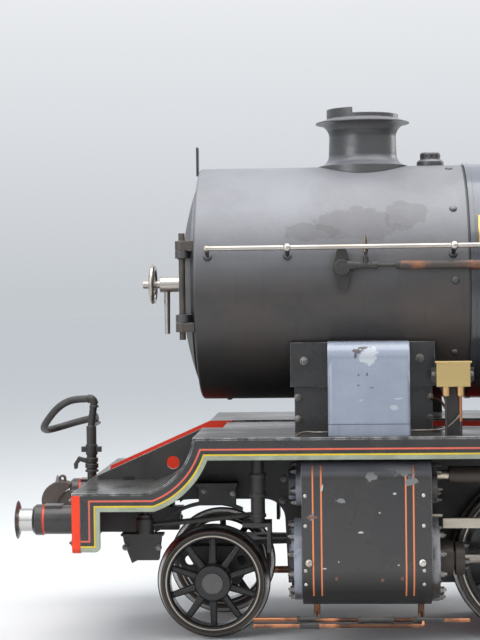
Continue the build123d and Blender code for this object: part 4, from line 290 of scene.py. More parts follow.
# %% Effect: a chip, an oval whose outline is torn by noise
paint_chip, given, result = start_group(
    "Paint Chip", {"Centre": (0.0, 0.0, 0.0), "Size": (0.02, 0.02, 0.02), "Torn": 1.6, "Scale": 60.0}
)
place = own_place(paint_chip)
offset = vector_step(paint_chip, "SUBTRACT", place, given["Centre"])[0]
share = vector_step(paint_chip, "DIVIDE", offset, given["Size"])[0]
noise = noise_at(paint_chip, place, given["Scale"], 6.0, 0.65)["Color"]
centred = vector_step(paint_chip, "SUBTRACT", noise, (0.5, 0.5, 0.5))[0]
torn = join(paint_chip, "ShaderNodeVectorMath", {0: centred, "Scale": given["Torn"]}, operation="SCALE")
bent = vector_step(paint_chip, "ADD", share, torn.outputs[0])[0]
reach = vector_step(paint_chip, "LENGTH", bent)["Value"]
paint_chip.links.new(spread(paint_chip, reach, 1.0, 0.93), result["Mask"])
print("shader groups", sorted(group.name for group in bpy.data.node_groups))

# %% [markdown]
# ## Finishes: one recipe
# Every finish starts as the same small recipe: a colour that drifts to a second colour in patches, dust
# on top, rubbed edges, and grain in the normal. The numbers make it matt smokebox paint or polished steel.
# Writing each material by hand would give the same nodes a dozen times over.


# %% The recipe for a finish
DUST_COLOUR = (0.20, 0.18, 0.155, 1)
DUST_ROUGHNESS = 0.75
COAT_ROUGHNESS = 0.08


def use_group(tree, group, **values):
    """Places a shader group and fills or links its inputs by name."""
    return join(tree, "ShaderNodeGroup", values, node_tree=group).outputs


def mask_of(material, group, **values):
    """The mask that a shader group gives in a material."""
    return use_group(material.node_tree, group, **values)["Mask"]


def blend_colour(tree, mask, first, second):
    """Mixes two colours by a mask, each a colour or a socket."""
    return join(tree, "ShaderNodeMix", {0: mask, 6: first, 7: second}, data_type="RGBA").outputs[2]


def blend_value(tree, mask, first, second):
    """Mixes two numbers by a mask, each a number or a socket."""
    return join(tree, "ShaderNodeMix", {0: mask, 2: first, 3: second}).outputs[0]


def start_material(name):
    """A new material with its nodes and its shader."""
    material = bpy.data.materials.new(name)
    material.use_nodes = True
    return material, material.node_tree, material.node_tree.nodes["Principled BSDF"]


def make_finish(
    name, colour, patch_colour, roughness, patch_scale=5.0, stretch=(1, 1, 1), patch_levels=(0.4, 0.62),
    dust=0.1, wear=0.0, wear_colour=(0.32, 0.31, 0.30), wear_radius=0.0035, grain=(260.0, 0.00012),
    grain_stretch=(1, 1, 1), metal=0.0, coat=0.0, specular=0.5, painted_sheen=0.0, painted_sheen_colour=(0.20, 0.20, 0.22),
    painted_sheen_levels=(-0.05, 0.85),
):
    """A material for one finish: colours are linear, grain is a noise scale and a depth in metres, and a pale
    painted sheen may be laid on what faces up.
    """
    material, tree, shader = start_material(f"engine_{name}")
    low, high = patch_levels
    patch = mask_of(material, patches, Scale=patch_scale, Stretch=stretch, Low=low, High=high, Detail=6.0)
    fine = mask_of(material, patches, Scale=patch_scale * 9, Stretch=stretch, Low=0.35, High=0.75, Detail=5.0)
    base = blend_colour(tree, patch, (*colour, 1), (*patch_colour, 1))
    base = blend_colour(tree, times(tree, fine, 0.35), base, (*patch_colour, 1))
    shine = blend_value(tree, patch, *roughness)
    settled = mask_of(material, settled_dust, Amount=dust)
    base = blend_colour(tree, settled, base, DUST_COLOUR)
    shine = blend_value(tree, settled, shine, DUST_ROUGHNESS)
    # Painted sheen: a pale colour where the surface turns up stands in for the sky's reflection.
    if painted_sheen:
        pale = mask_of(material, painted_light_by_facing, Low=painted_sheen_levels[0], High=painted_sheen_levels[1], Amount=painted_sheen)
        base = blend_colour(tree, pale, base, (*painted_sheen_colour, 1))
    edges = use_group(tree, worn_edges, Radius=wear_radius, Amount=wear)
    base = blend_colour(tree, edges["Mask"], base, (*wear_colour, 1))
    scale, depth = grain
    grained = use_group(
        tree, surface_grain, Scale=scale, Stretch=grain_stretch, Depth=depth, Normal=edges["Normal"]
    )
    tree.links.new(base, shader.inputs["Base Color"])
    tree.links.new(shine, shader.inputs["Roughness"])
    tree.links.new(grained["Normal"], shader.inputs["Normal"])
    shader.inputs["Metallic"].default_value = metal
    shader.inputs["Coat Weight"].default_value = coat
    shader.inputs["Coat Roughness"].default_value = COAT_ROUGHNESS
    shader.inputs["Specular IOR Level"].default_value = specular
    return material


# %% Ways to paint a zone over a finish
# millimetres: a place beyond every side of the engine, and the half width of an oval that shows alike on
# both sides
FAR = 3000
THROUGH = 100000


def copy_finish(source, name):
    """A copy of a finish under a new name, ready for its own zones."""
    material = source.copy()
    material.name = name
    return material


def paint_zone(material, mask, colour, roughness, metal=None):
    """Lays another colour, roughness and perhaps metal over a material where the mask is 1."""
    tree = material.node_tree
    changes = [("Base Color", (*colour, 1), blend_colour), ("Roughness", roughness, blend_value)]
    if metal is not None:
        changes.append(("Metallic", metal, blend_value))
    for label, value, blend in changes:
        socket = tree.nodes["Principled BSDF"].inputs[label]
        before = socket.links[0].from_socket if socket.is_linked else socket.default_value
        tree.links.new(blend(tree, mask, before, value), socket)


def box_mask(material, low, high, softness=0.0004):
    """The mask of a box between two corners in millimetres."""
    return mask_of(material, box_zone, Low=at(*low), High=at(*high), Softness=softness)


def ring_mask(material, centre, inner, outer, across=(1, 0, 1)):
    """The mask between two radii about a line through a centre, in millimetres."""
    return mask_of(
        material, ring_zone, Centre=at(*centre), Across=across, Inner=inner * MM, Outer=outer * MM
    )


def chip_mask(material, x, y, z, half_sizes, torn, scale=60.0):
    """The mask of a torn oval about a place from the pony axle, in millimetres."""
    centre = at(PONY_X + x, y, z)
    return mask_of(material, paint_chip, Centre=centre, Size=at(*half_sizes), Torn=torn, Scale=scale)


def paint_boxes(material, rows, both_sides=False):
    """Paints boxes: each row is two corners in millimetres, a colour, a roughness and perhaps a metal."""
    for low, high, *finish in rows:
        for s in (-1, 1) if both_sides else (1,):
            near, far = sorted((s * low[1], s * high[1]))
            paint_zone(material, box_mask(material, (low[0], near, low[2]), (high[0], far, high[2])), *finish)


# %% [markdown]
# ## Finishes: the paints and metals of this engine
# Smokebox paint is dull and heat-stained, with streaks that ran down. The boiler, cylinders and cab are
# gloss black, which shows the sky. Frames are satin and oily. Motion and handrails are bright steel that
# has dulled in patches, and castings near the floor carry brown brake dust.

# %% Mix the paints
# The smokebox's pale top is a painted sheen: the sky's reflection painted in as colour.
smokebox_paint = make_finish(
    "smokebox_paint", (0.032, 0.030, 0.029), (0.022, 0.019, 0.018), (0.40, 0.54), patch_scale=3.2,
    stretch=(1, 1, 0.55), wear=0.35, grain=(90, 0.0006), specular=0.6, painted_sheen=1.0,
    painted_sheen_colour=(0.205, 0.207, 0.228), painted_sheen_levels=(-0.10, 0.60),
)
# The boiler's pale blue-grey top is a painted sheen: the sky's reflection painted in as colour.
boiler_paint = make_finish(
    "boiler_paint", (0.032, 0.034, 0.040), (0.025, 0.026, 0.030), (0.18, 0.28), patch_scale=2.5, wear=0.3,
    grain=(60, 0.0002), coat=0.4, specular=0.6, painted_sheen=0.95, painted_sheen_colour=(0.135, 0.148, 0.180),
    painted_sheen_levels=(0.0, 0.90),
)
gloss_black = make_finish(
    "gloss_black", (0.020, 0.020, 0.022), (0.032, 0.030, 0.029), (0.22, 0.36), patch_scale=6, dust=0.25,
    wear=0.6, wear_colour=(0.42, 0.41, 0.40), grain=(70, 0.00025), coat=0.15,
)
footplate_black = make_finish(
    "footplate_black", (0.022, 0.023, 0.026), (0.040, 0.039, 0.038), (0.18, 0.38), patch_scale=7,
    stretch=(0.5, 1, 1), dust=0.30, wear=1.0, wear_colour=(0.62, 0.62, 0.62), wear_radius=0.005,
    grain=(80, 0.0003), coat=0.2,
)
frame_paint = make_finish(
    "frame_paint", (0.019, 0.018, 0.018), (0.034, 0.031, 0.028), (0.36, 0.56), patch_scale=8, dust=0.45,
    wear=0.6, wear_colour=(0.22, 0.21, 0.20), grain=(120, 0.0004),
)
beam_red = make_finish(
    "beam_red", (0.88, 0.060, 0.018), (0.76, 0.048, 0.016), (0.30, 0.44), patch_scale=7, wear=0.35,
    wear_colour=(0.42, 0.10, 0.06), grain=(90, 0.0002), specular=0.35,
)
wheel_paint = make_finish(
    "wheel_paint", (0.009, 0.009, 0.011), (0.020, 0.018, 0.017), (0.16, 0.32), patch_scale=14, dust=0.18,
    wear=0.35, wear_colour=(0.20, 0.18, 0.17), grain=(140, 0.0004), coat=0.2, specular=0.35,
)
print("paints", len(bpy.data.materials))

# %% Mix the metals, wood and rubber
cast_iron = make_finish(
    "cast_iron", (0.052, 0.047, 0.043), (0.085, 0.070, 0.058), (0.36, 0.56), patch_scale=12, dust=0.4,
    wear=0.7, wear_colour=(0.30, 0.28, 0.26), grain=(170, 0.0008), metal=0.35,
)
bright_steel = make_finish(
    "bright_steel", (0.60, 0.58, 0.55), (0.40, 0.36, 0.32), (0.20, 0.36), patch_scale=9,
    stretch=(0.35, 1, 1), dust=0.15, wear=0.3, wear_colour=(0.75, 0.74, 0.72), grain=(420, 0.0001),
    grain_stretch=(0.06, 1, 1), metal=1.0,
)
motion_steel = make_finish(
    "motion_steel", (0.42, 0.40, 0.38), (0.25, 0.215, 0.185), (0.26, 0.46), patch_scale=10,
    stretch=(0.35, 1, 1), dust=0.3, wear=0.5, wear_colour=(0.65, 0.64, 0.62), grain=(380, 0.0002),
    grain_stretch=(0.08, 1, 1), metal=1.0,
)
brass = make_finish(
    "brass", (0.66, 0.44, 0.17), (0.36, 0.22, 0.085), (0.22, 0.42), patch_scale=22, dust=0.25, wear=0.4,
    wear_colour=(0.86, 0.66, 0.32), grain=(300, 0.0001), metal=1.0,
)
copper = make_finish(
    "copper", (0.46, 0.20, 0.105), (0.16, 0.085, 0.060), (0.30, 0.52), patch_scale=20,
    patch_levels=(0.46, 0.60), dust=0.3, wear=0.3, wear_colour=(0.70, 0.36, 0.20), grain=(300, 0.0001),
    metal=1.0,
)
nut_steel = make_finish(
    "nut_steel", (0.22, 0.21, 0.20), (0.10, 0.085, 0.07), (0.32, 0.55), patch_scale=30, dust=0.3, wear=0.8,
    wear_colour=(0.60, 0.59, 0.57), wear_radius=0.0015, grain=(300, 0.0002), metal=0.8,
)
varnished_wood = make_finish(
    "varnished_wood", (0.24, 0.115, 0.045), (0.13, 0.060, 0.026), (0.28, 0.42), patch_scale=30,
    stretch=(0.08, 1, 1), dust=0.2, wear=0.35, wear_colour=(0.40, 0.24, 0.12), grain=(200, 0.0004),
    grain_stretch=(0.06, 1, 1), coat=0.3,
)
rubber = make_finish(
    "rubber", (0.022, 0.022, 0.023), (0.050, 0.047, 0.044), (0.42, 0.62), patch_scale=30, dust=0.4,
    grain=(500, 0.0003),
)
# Flat black for printed marks, and painted shade where a hole is shown as a black disc.
black_marks_and_hole_shade = make_finish(
    "black_marks_and_hole_shade", (0.006, 0.006, 0.006), (0.014, 0.012, 0.011), (0.5, 0.7), patch_scale=30,
    grain=(300, 0.0003), specular=0.25,
)
print("finishes", len(bpy.data.materials))

# %% Frames red inside, with a painted highlight on the upper edges and a slot painted black as shade
SLOT_SHADE_BLACK = (0.004, 0.004, 0.004)
frame_with_red_inside = copy_finish(frame_paint, "frame_with_red_inside")
paint_boxes(frame_with_red_inside, [((-FAR, -134.4, 0), (FAR, 134.4, FAR), (0.84, 0.050, 0.018), 0.35)])
# Painted highlight: tops of the frames that face up are painted pale, for the light on them as well as rubbed
# paint.
highlit_upper_edges = mask_of(frame_with_red_inside, painted_light_by_facing, Low=0.25, High=0.5, Amount=0.95, Scale=9.0)
paint_zone(frame_with_red_inside, highlit_upper_edges, (0.42, 0.43, 0.45), 0.35)
# The slot is painted near black: painted shade in place of an opening.
slot = ((PONY_X - 266, 144, 453), (PONY_X - 232, 149, 463), SLOT_SHADE_BLACK, 0.6)
paint_boxes(frame_with_red_inside, [slot], both_sides=True)

# %% Heat stains, run marks and burnt patches on the smokebox, and painted shade on its underside
smokebox_tree = smokebox_paint.node_tree
low_half = box_mask(smokebox_paint, (-FAR, -FAR, 650), (FAR, FAR, 1160), softness=0.16)
heat = mask_of(smokebox_paint, patches, Scale=2.2, Stretch=(1, 1, 1.5), Low=0.46, High=0.70, Detail=5.0)
paint_zone(smokebox_paint, times(smokebox_tree, heat, low_half), (0.064, 0.047, 0.040), 0.58)
runs = mask_of(smokebox_paint, patches, Scale=26, Stretch=(1, 1, 0.10), Low=0.60, High=0.74, Detail=3.0)
paint_zone(smokebox_paint, times(smokebox_tree, runs, low_half, 0.5), (0.016, 0.015, 0.014), 0.45)
burnt_row = [
    # x from the pony axle, z, half length, half height
    (425, 1185, 120, 46), (300, 1165, 90, 26), (560, 1210, 60, 40),
]
for x, z, half_x, half_z in burnt_row:
    burnt = chip_mask(smokebox_paint, x, 0, z, (half_x, THROUGH, half_z), torn=1.8, scale=16.0)
    paint_zone(smokebox_paint, times(smokebox_tree, burnt, 0.30), (0.050, 0.043, 0.040), 0.55)
# Painted shade: surfaces that turn down are painted near black.
shaded_underside = mask_of(smokebox_paint, painted_light_by_facing, Low=-0.35, High=-0.85, Amount=0.9)
paint_zone(smokebox_paint, shaded_underside, (0.008, 0.008, 0.008), 0.5)
end_seam = ((BARREL_X - 7, -FAR, 0), (BARREL_X + 5, FAR, FAR), (0.020, 0.020, 0.022), 0.45)
paint_boxes(smokebox_paint, [end_seam])

# %% Steam pipe cover, cylinder cladding and chimney
# Painted reflection: the steam pipe cover is gloss black, and its blue-grey colour is the sky's reflection
# painted in.
cover_painted_sky = make_finish(
    "cover_painted_sky", (0.265, 0.295, 0.365), (0.225, 0.250, 0.310), (0.24, 0.34), patch_scale=8, wear=0.9,
    wear_colour=(0.68, 0.70, 0.75), wear_radius=0.005, grain=(60, 0.0003), coat=0.4,
)
cladding_paint = make_finish(
    "cladding_paint", (0.030, 0.029, 0.030), (0.042, 0.038, 0.036), (0.24, 0.36), patch_scale=5, wear=0.9,
    wear_colour=(0.40, 0.38, 0.37), wear_radius=0.004, grain=(70, 0.0004), coat=0.1,
)
# Painted reflection: the cladding's upper curve is painted pale grey where it faces up, as the sky's sheen on
# it.
top_reflection = mask_of(cladding_paint, painted_light_by_facing, Low=0.15, High=0.75, Amount=0.85, Scale=7.0)
paint_zone(cladding_paint, top_reflection, (0.23, 0.23, 0.26), 0.32)
# Painted shade: the cladding below 240 mm is painted near black.
shaded_low_curve = box_mask(cladding_paint, (-FAR, -FAR, -FAR), (FAR, FAR, 240), softness=0.05)
paint_zone(cladding_paint, times(cladding_paint.node_tree, shaded_low_curve, 0.9), (0.007, 0.007, 0.007), 0.62)
# The chimney's pale top is a painted sheen: the sky's reflection painted in as colour.
chimney_paint = make_finish(
    "chimney_paint", (0.040, 0.039, 0.040), (0.026, 0.025, 0.026), (0.30, 0.46), patch_scale=9, dust=0.15,
    wear=0.5, grain=(110, 0.0006), specular=0.7, painted_sheen=0.8, painted_sheen_colour=(0.20, 0.20, 0.23),
)
# Painted highlight: the cap's rim is painted lighter, as the light caught on it.
cap_rim_highlight = box_mask(chimney_paint, (-1400, -200, 1472), (-900, 200, 1500), softness=0.003)
paint_zone(chimney_paint, cap_rim_highlight, (0.085, 0.083, 0.084), 0.34)

# %% [markdown]
# ## Finishes: painted lines and bare patches
# The cylinder cladding has two pairs of orange lines. They could be thin strips, but lines painted over a
# curved sheet have no thickness, so they are zones of the paint itself. A chip is an oval torn by noise,
# so that each has its own ragged outline and still lies where a boot or a spanner would strike.

# %% Cladding lines, chips on the cladding and the steam pipe cover
LINE_ORANGE = (0.80, 0.235, 0.085)
LINE_HALF = 2.4
fade = mask_of(cladding_paint, patches, Scale=9, Low=0.26, High=0.36, Detail=8.0)
for line_x in (293, 316, 546, 567):
    x = PONY_X + line_x
    line = box_mask(cladding_paint, (x - LINE_HALF, -470, 160), (x + LINE_HALF, 470, 522), 0.0006)
    paint_zone(cladding_paint, times(cladding_paint.node_tree, line, fade), LINE_ORANGE, 0.40)


def chip_patches(material, rows, colour):
    """Ragged bare patches: each row is a centre (x, z), half sizes and how torn its outline is."""
    for x, z, half_x, half_z, torn in rows:
        paint_zone(material, chip_mask(material, x, 0, z, (half_x, THROUGH, half_z), torn), colour, 0.6)


grey_chips = [
    # x, z, half length, half height, how torn
    (517, 517, 30, 9, 3.0), (542, 508, 25, 16, 2.9), (562, 480, 17, 12, 3.2), (453, 493, 15, 11, 3.2),
    (370, 428, 11, 7, 2.8), (290, 383, 8, 12, 3.0),
]
rust_chips = [(291, 382, 16, 4, 1.8), (356, 214, 4, 5, 1.6), (481, 209, 5, 5, 1.6), (534, 214, 4, 6, 1.6)]
white_chips = [
    (475, 394, 2.5, 2.5, 1.2), (362, 260, 2, 2, 1.0), (516, 446, 5, 3, 1.6), (422, 341, 9, 3, 2.4),
    (525, 251, 3, 2, 1.5), (325, 242, 7, 2, 2.2), (318, 458, 3, 5, 1.8), (320, 466, 2, 6, 1.8),
]
chip_patches(cladding_paint, grey_chips, (0.20, 0.198, 0.197))
chip_patches(cladding_paint, rust_chips, (0.20, 0.085, 0.065))
chip_patches(cladding_paint, white_chips, (0.50, 0.49, 0.46))
# The cover's front side face keeps its own gloss black.
cover_side = ((PONY_X + 300, -FAR, 0), (PONY_X + 338, FAR, FAR), (0.016, 0.018, 0.018), 0.25)
paint_boxes(cover_painted_sky, [cover_side])
pale_chips = [(449, 820, 24, 21, 2.6), (463, 833, 9, 13, 2.2)]
dark_chips = [
    (420, 834, 15, 6, 2.4), (436, 842, 16, 4, 2.2), (414, 822, 4, 8, 2.0), (422, 769, 3, 3, 1.2),
    (445, 771, 2.5, 5, 1.2), (421, 741, 3, 2.5, 1.2), (457, 734, 6, 1.6, 2.0),
]
scratches = [(519, 682, 11, 7, 3.2), (527, 704, 14, 2.5, 3.0), (427, 700, 6, 3, 2.8)]
chip_patches(cover_painted_sky, dark_chips, (0.070, 0.062, 0.066))
chip_patches(cover_painted_sky, pale_chips, (0.41, 0.43, 0.47))
chip_patches(cover_painted_sky, scratches, (0.35, 0.37, 0.42))
cover_band = box_mask(cover_painted_sky, (-FAR, -470, 634), (FAR, 470, 637), 0.0006)
paint_zone(cover_painted_sky, cover_band, (0.075, 0.080, 0.095), 0.5)
strip_joint = ((PONY_X + 366, -470, 604), (PONY_X + 367.6, 470, 634), (0.12, 0.13, 0.15), 0.5)
paint_boxes(cover_painted_sky, [strip_joint])

# %% [markdown]
# ## Finishes: wheels and pieces of two materials
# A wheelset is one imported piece, yet its tyre is bare steel and its centre is painted. The mesh could be
# cut along the tyre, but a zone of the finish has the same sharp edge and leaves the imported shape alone.
# Buffers, rails, covers and the cab's controls have their second material in the same way.


# %% Wheels: painted centres inside a steel tyre, with a bright tread
def wheel_finish(name, x, z, tread_r, rim_r):
    """Paint for one wheelset: brown steel tyre, bright tread and flange, and steel crankpins."""
    material = copy_finish(wheel_paint, name)
    wheel_rings = [
        # inner and outer radius, colour, roughness, metal: tyre, its inner ring, its outer face, tread
        (rim_r + 4, tread_r + 40, (0.022, 0.018, 0.016), 0.42, 0.2),
        (rim_r + 8, rim_r + 12, (0.42, 0.37, 0.32), 0.28, 0.9),
        (tread_r - 8, tread_r - 1.5, (0.085, 0.066, 0.053), 0.36, 0.6),
        (tread_r - 1.5, tread_r + 9, (0.50, 0.49, 0.48), 0.26, 1.0),
    ]
    for inner, outer, *finish in wheel_rings:
        paint_zone(material, ring_mask(material, (x, 0, z), inner, outer), *finish)
    crankpins = ((x - 400, 245.4, 0), (x + 400, 600, 700), (0.40, 0.38, 0.36), 0.34, 1.0)
    paint_boxes(material, [crankpins], both_sides=True)
    axle = ((x - 60, -170, 0), (x + 60, 170, 700), (0.075, 0.060, 0.050), 0.5, 0.6)
    paint_boxes(material, [axle])
    return material


wheel_finishes = {}
for number, driver_x in enumerate(DRIVER_X, start=1):
    finish = wheel_finish(f"driver_{number}_finish", driver_x, DRIVER_Z, 222.5, 194.5)
    wheel_finishes[f"driving_wheelset_{number}"] = finish
for name, x in (("pony", PONY_X), ("trailing", TRAILING_X)):
    wheel_finishes[f"{name}_wheelset"] = wheel_finish(f"{name}_wheel_finish", x, PONY_Z, 152.5, 124.5)

# %% Pieces of two finishes: buffers and the steam pipe with its lubricators
buffer_finish = copy_finish(gloss_black, "buffer_finish")
paint_boxes(buffer_finish, [
    # ram, head, red ring
    ((BEAM_X - 400, -400, 250), (BEAM_X - 132.4, 400, 480), (0.52, 0.51, 0.50), 0.26, 1.0),
    ((BEAM_X - 400, -400, 250), (BEAM_X - 170, 400, 480), (0.19, 0.175, 0.17), 0.34, 0.9),
    ((BEAM_X - 104.6, -400, 250), (BEAM_X - 97.5, 400, 480), (0.62, 0.06, 0.035), 0.4),
])

fitting_finish = copy_finish(frame_paint, "steam_fitting_finish")
fitting_tree = fitting_finish.node_tree
wrapped = box_mask(fitting_finish, (PONY_X + 542, -400, 1040), (FAR, -330, 1100))
tape = mask_of(fitting_finish, patches, Scale=16, Stretch=(0.7, 1, 1), Low=0.50, High=0.66)
tape_colour = blend_colour(fitting_tree, tape, (0.055, 0.045, 0.040, 1), (0.27, 0.10, 0.045, 1))
colour_input = fitting_tree.nodes["Principled BSDF"].inputs["Base Color"]
lagged_colour = blend_colour(fitting_tree, wrapped, colour_input.links[0].from_socket, tape_colour)
fitting_tree.links.new(lagged_colour, colour_input)
paint_boxes(fitting_finish, [
    # lubricator box, its unions, its pipe
    ((PONY_X + 626, 431.2, 735), (PONY_X + 729, 475, 812), (0.60, 0.44, 0.20), 0.32, 1.0),
    ((PONY_X + 640, 431.2, 709), (PONY_X + 720, 475, 735.5), (0.64, 0.40, 0.19), 0.30, 1.0),
    ((PONY_X + 690, 431.2, 640), (PONY_X + 705, 475, 709.5), (0.42, 0.17, 0.09), 0.40, 1.0),
], both_sides=True)
for low_x, high_x in ((440, 445), (454, 472)):
    cone = ((PONY_X + low_x, -380, 1106), (PONY_X + high_x, -350, 1160), (0.50, 0.34, 0.16), 0.36, 1.0)
    paint_boxes(fitting_finish, [cone])

# %% Pieces of two finishes: nameplates and rails
nameplate_finish = make_finish(
    "nameplate_finish", (0.52, 0.36, 0.14), (0.34, 0.21, 0.09), (0.24, 0.40), patch_scale=24, dust=0.2,
    wear=0.3, wear_colour=(0.80, 0.62, 0.32), grain=(300, 0.0001), metal=1.0,
)
plate_field = ((PONY_X + 768, -500, 1136), (PONY_X + 1112, 500, 1198), (0.035, 0.010, 0.008), 0.3, 0.0)
paint_boxes(nameplate_finish, [plate_field])

door_rail_finish = copy_finish(bright_steel, "door_rail_finish")
paint_boxes(door_rail_finish, [
    # lamp iron, posts
    ((-1700, -30, 1345), (-1600, 30, 1500), (0.03, 0.03, 0.03), 0.45, 0.0),
    ((SMOKEBOX_X - 38, -400, 1150), (SMOKEBOX_X + 10, 400, 1346), (0.03, 0.03, 0.03), 0.45, 0.0),
])
side_rail_finish = copy_finish(bright_steel, "side_rail_finish")
stems = ((-FAR, 0, 1000), (FAR, 374, 1200), (0.075, 0.068, 0.064), 0.45, 0.6)
paint_boxes(side_rail_finish, [stems], both_sides=True)

# %% Pieces of two finishes: cylinder covers, slide bars and cab controls
covers_finish = copy_finish(cast_iron, "cylinder_covers_finish")
covers_tree = covers_finish.node_tree
castings = times(covers_tree, box_mask(covers_finish, (-FAR, -FAR, 0), (FAR, FAR, 800)), 0.6)
paint_zone(covers_finish, castings, (0.040, 0.031, 0.026), 0.42)
paint_boxes(covers_finish, [
    # valve spindles near their glands, valve spindles further back, front covers
    ((BLOCK_END_X + 19, -400, 465), (BLOCK_END_X + 52, 400, 500), (0.50, 0.44, 0.36), 0.3, 1.0),
    ((BLOCK_END_X + 138, -400, 465), (0, 400, 500), (0.52, 0.50, 0.48), 0.26, 1.0),
    ((BLOCK_X - 60, -500, 100), (BLOCK_X - 0.5, 500, 540), (0.034, 0.034, 0.040), 0.3, 0.0),
])
# Painted reflection: the outer rims of the cylinder covers are painted light blue-grey in patches, as the sky
# seen in them.
cover_rim_reflections = [
    # x range, centre y and z, inner radius, colour of the painted sky reflection
    (BLOCK_X - 60, BLOCK_X, CYLINDER_Y, CYLINDER_Z, 112, (0.34, 0.36, 0.42)),
    (BLOCK_X - 60, BLOCK_X, VALVE_Y, VALVE_Z, 60, (0.24, 0.25, 0.29)),
    (BLOCK_END_X, BLOCK_END_X + 23, CYLINDER_Y, CYLINDER_Z, 113, (0.30, 0.30, 0.33)),
    (BLOCK_END_X, BLOCK_END_X + 23, VALVE_Y, VALVE_Z, 54, (0.24, 0.23, 0.24)),
]
patchy_reflection = mask_of(covers_finish, patches, Scale=14, Stretch=(1, 1, 0.5), Low=0.34, High=0.52, Detail=6.0)
for low_x, high_x, y, z, inner, colour in cover_rim_reflections:
    for s in (-1, 1):
        rim = ring_mask(covers_finish, (0, s * y, z), inner, 190, across=(0, 1, 1))
        near, far = sorted((s * 200, s * 500))
        face = box_mask(covers_finish, (low_x, near, 90), (high_x, far, 560))
        paint_zone(covers_finish, times(covers_tree, rim, face, patchy_reflection), colour, 0.34, 0.0)

slide_bar_finish = make_finish(
    "slide_bar_finish", (0.50, 0.46, 0.39), (0.34, 0.28, 0.21), (0.26, 0.42), patch_scale=8,
    stretch=(0.3, 1, 1), dust=0.2, wear=0.3, wear_colour=(0.62, 0.60, 0.56), grain=(400, 0.0002),
    grain_stretch=(0.06, 1, 1), metal=0.9,
)
controls_finish = copy_finish(brass, "cab_controls_finish")
paint_boxes(controls_finish, [
    # firehole door, regulator handle, reversing lever, hand wheels of the manifold
    ((FLOOR_X - 5, -112, 730), (FLOOR_X + 50, 112, 957), (0.030, 0.027, 0.025), 0.55, 0.3),
    ((FLOOR_X + 28, -180, 1100), (FLOOR_X + 60, 30, 1180), (0.50, 0.49, 0.47), 0.28, 1.0),
    ((CAB_X + 100, 400, 480), (FLOOR_X + 120, 480, 1000), (0.42, 0.41, 0.39), 0.30, 1.0),
    ((FLOOR_X + 35, -130, 1300), (FLOOR_X + 50, 130, 1350), (0.30, 0.018, 0.012), 0.4, 0.0),
])

# %% Pieces of two finishes: drain pipes, deck and cab floor
drain_finish = copy_finish(copper, "drain_finish")
# The runs below 130 mm, under the cylinders, are painted near black.
dark_low_runs = box_mask(drain_finish, (PONY_X + 346, -470, 60), (PONY_X + 572, 470, 130), softness=0.02)
paint_zone(drain_finish, times(drain_finish.node_tree, dark_low_runs, 0.88), (0.050, 0.033, 0.026), 0.5)

deck_finish = copy_finish(footplate_black, "deck_finish")
# The slot and the round hole beside the frames are painted near black: painted shade in place of openings.
slot = ((PONY_X - 266, 146, 440), (PONY_X - 232, 168, 470), SLOT_SHADE_BLACK, 0.7)
paint_boxes(deck_finish, [slot], both_sides=True)
for s in (-1, 1):
    hole_shade = chip_mask(deck_finish, -165, s * 162, 458, (12, 13, 30), torn=0.2)
    paint_zone(deck_finish, hole_shade, SLOT_SHADE_BLACK, 0.7)

floor_planks = copy_finish(varnished_wood, "floor_planks")
PLANK_WIDTH = 90
for y in range(-450, 451, PLANK_WIDTH):
    gap = ((FLOOR_X - 10, y - 1.6, DECK_Z), (CAB_END_X, y + 1.6, 700), (0.012, 0.008, 0.005), 0.8)
    paint_boxes(floor_planks, [gap])
print("zoned finishes", len(bpy.data.materials))

# %% [markdown]
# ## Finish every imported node
# A node's shape is already right, so it only needs its finish. A table of finish and nodes is easier to
# check against the engine than a line for each, and a node left out would show at once in the print.

# %% Assign the finishes
finish_of_nodes = [
    (smokebox_paint, ["smokebox", "smokebox_door", "blast_pipe"]),
    (chimney_paint, ["chimney", "snifting_valve"]),
    (boiler_paint, ["boiler_barrel", "firebox", "steam_dome"]),
    (gloss_black, ["smokebox_saddle", "valances", "cab_front", "cab_sides", "cab_roof"]),
    (deck_finish, ["footplating"]),
    (frame_paint, [
        "pony_truck_frame", "trailing_truck_frame", "pony_control_gear", "brake_gear", "motion_brackets",
        "vacuum_standpipe", "frame_stretchers",
    ]),
    (frame_with_red_inside, ["main_frames"]),
    (beam_red, ["front_beam", "rear_drag_beam"]),
    (cast_iron, ["front_coupler", "axleboxes", "ashpan", "cylinder_blocks", "door_hinge"]),
    (cladding_paint, ["cylinder_cladding"]),
    (cover_painted_sky, ["steam_pipe_covers"]),
    (covers_finish, ["cylinder_covers"]),
    (slide_bar_finish, ["slide_bars"]),
    (motion_steel, [
        "valve_gear", "coupling_rod_left", "coupling_rod_right", "connecting_rod_left",
        "connecting_rod_right", "eccentric_rod_left", "eccentric_rod_right", "crosshead_left",
        "crosshead_right",
    ]),
    (bright_steel, ["door_dart"]),
    (side_rail_finish, ["side_handrails"]),
    (door_rail_finish, ["front_handrail_and_lamp_iron"]),
    (brass, ["safety_valves_and_whistle"]),
    (nameplate_finish, ["nameplates"]),
    (buffer_finish, ["front_buffers"]),
    (fitting_finish, ["steam_pipe_and_lubricators"]),
    (controls_finish, ["cab_controls"]),
    (drain_finish, ["drain_pipes"]),
    (varnished_wood, ["driver_seats"]),
    (floor_planks, ["cab_floor"]),
]
finished = dict(wheel_finishes)
for material, node_names in finish_of_nodes:
    for node_name in node_names:
        finished[node_name] = material
for node_name, material in finished.items():
    nodes[node_name].data.materials.clear()
    nodes[node_name].data.materials.append(material)
vacuum_hose.data.materials.append(rubber)
print("nodes with no finish:", sorted(set(nodes) - set(finished) - {"vacuum_hose"}))

# %% [markdown]
# ## Nuts and rivets
# A stud ends in a hexagon nut with the stud's tip standing out of it; a rivet is a low dome. Hundreds are
# needed, so each is a few faces, and neighbours of one finish are joined in one mesh. Mesh arrays would
# need a modifier for every row, while one table gives them all.


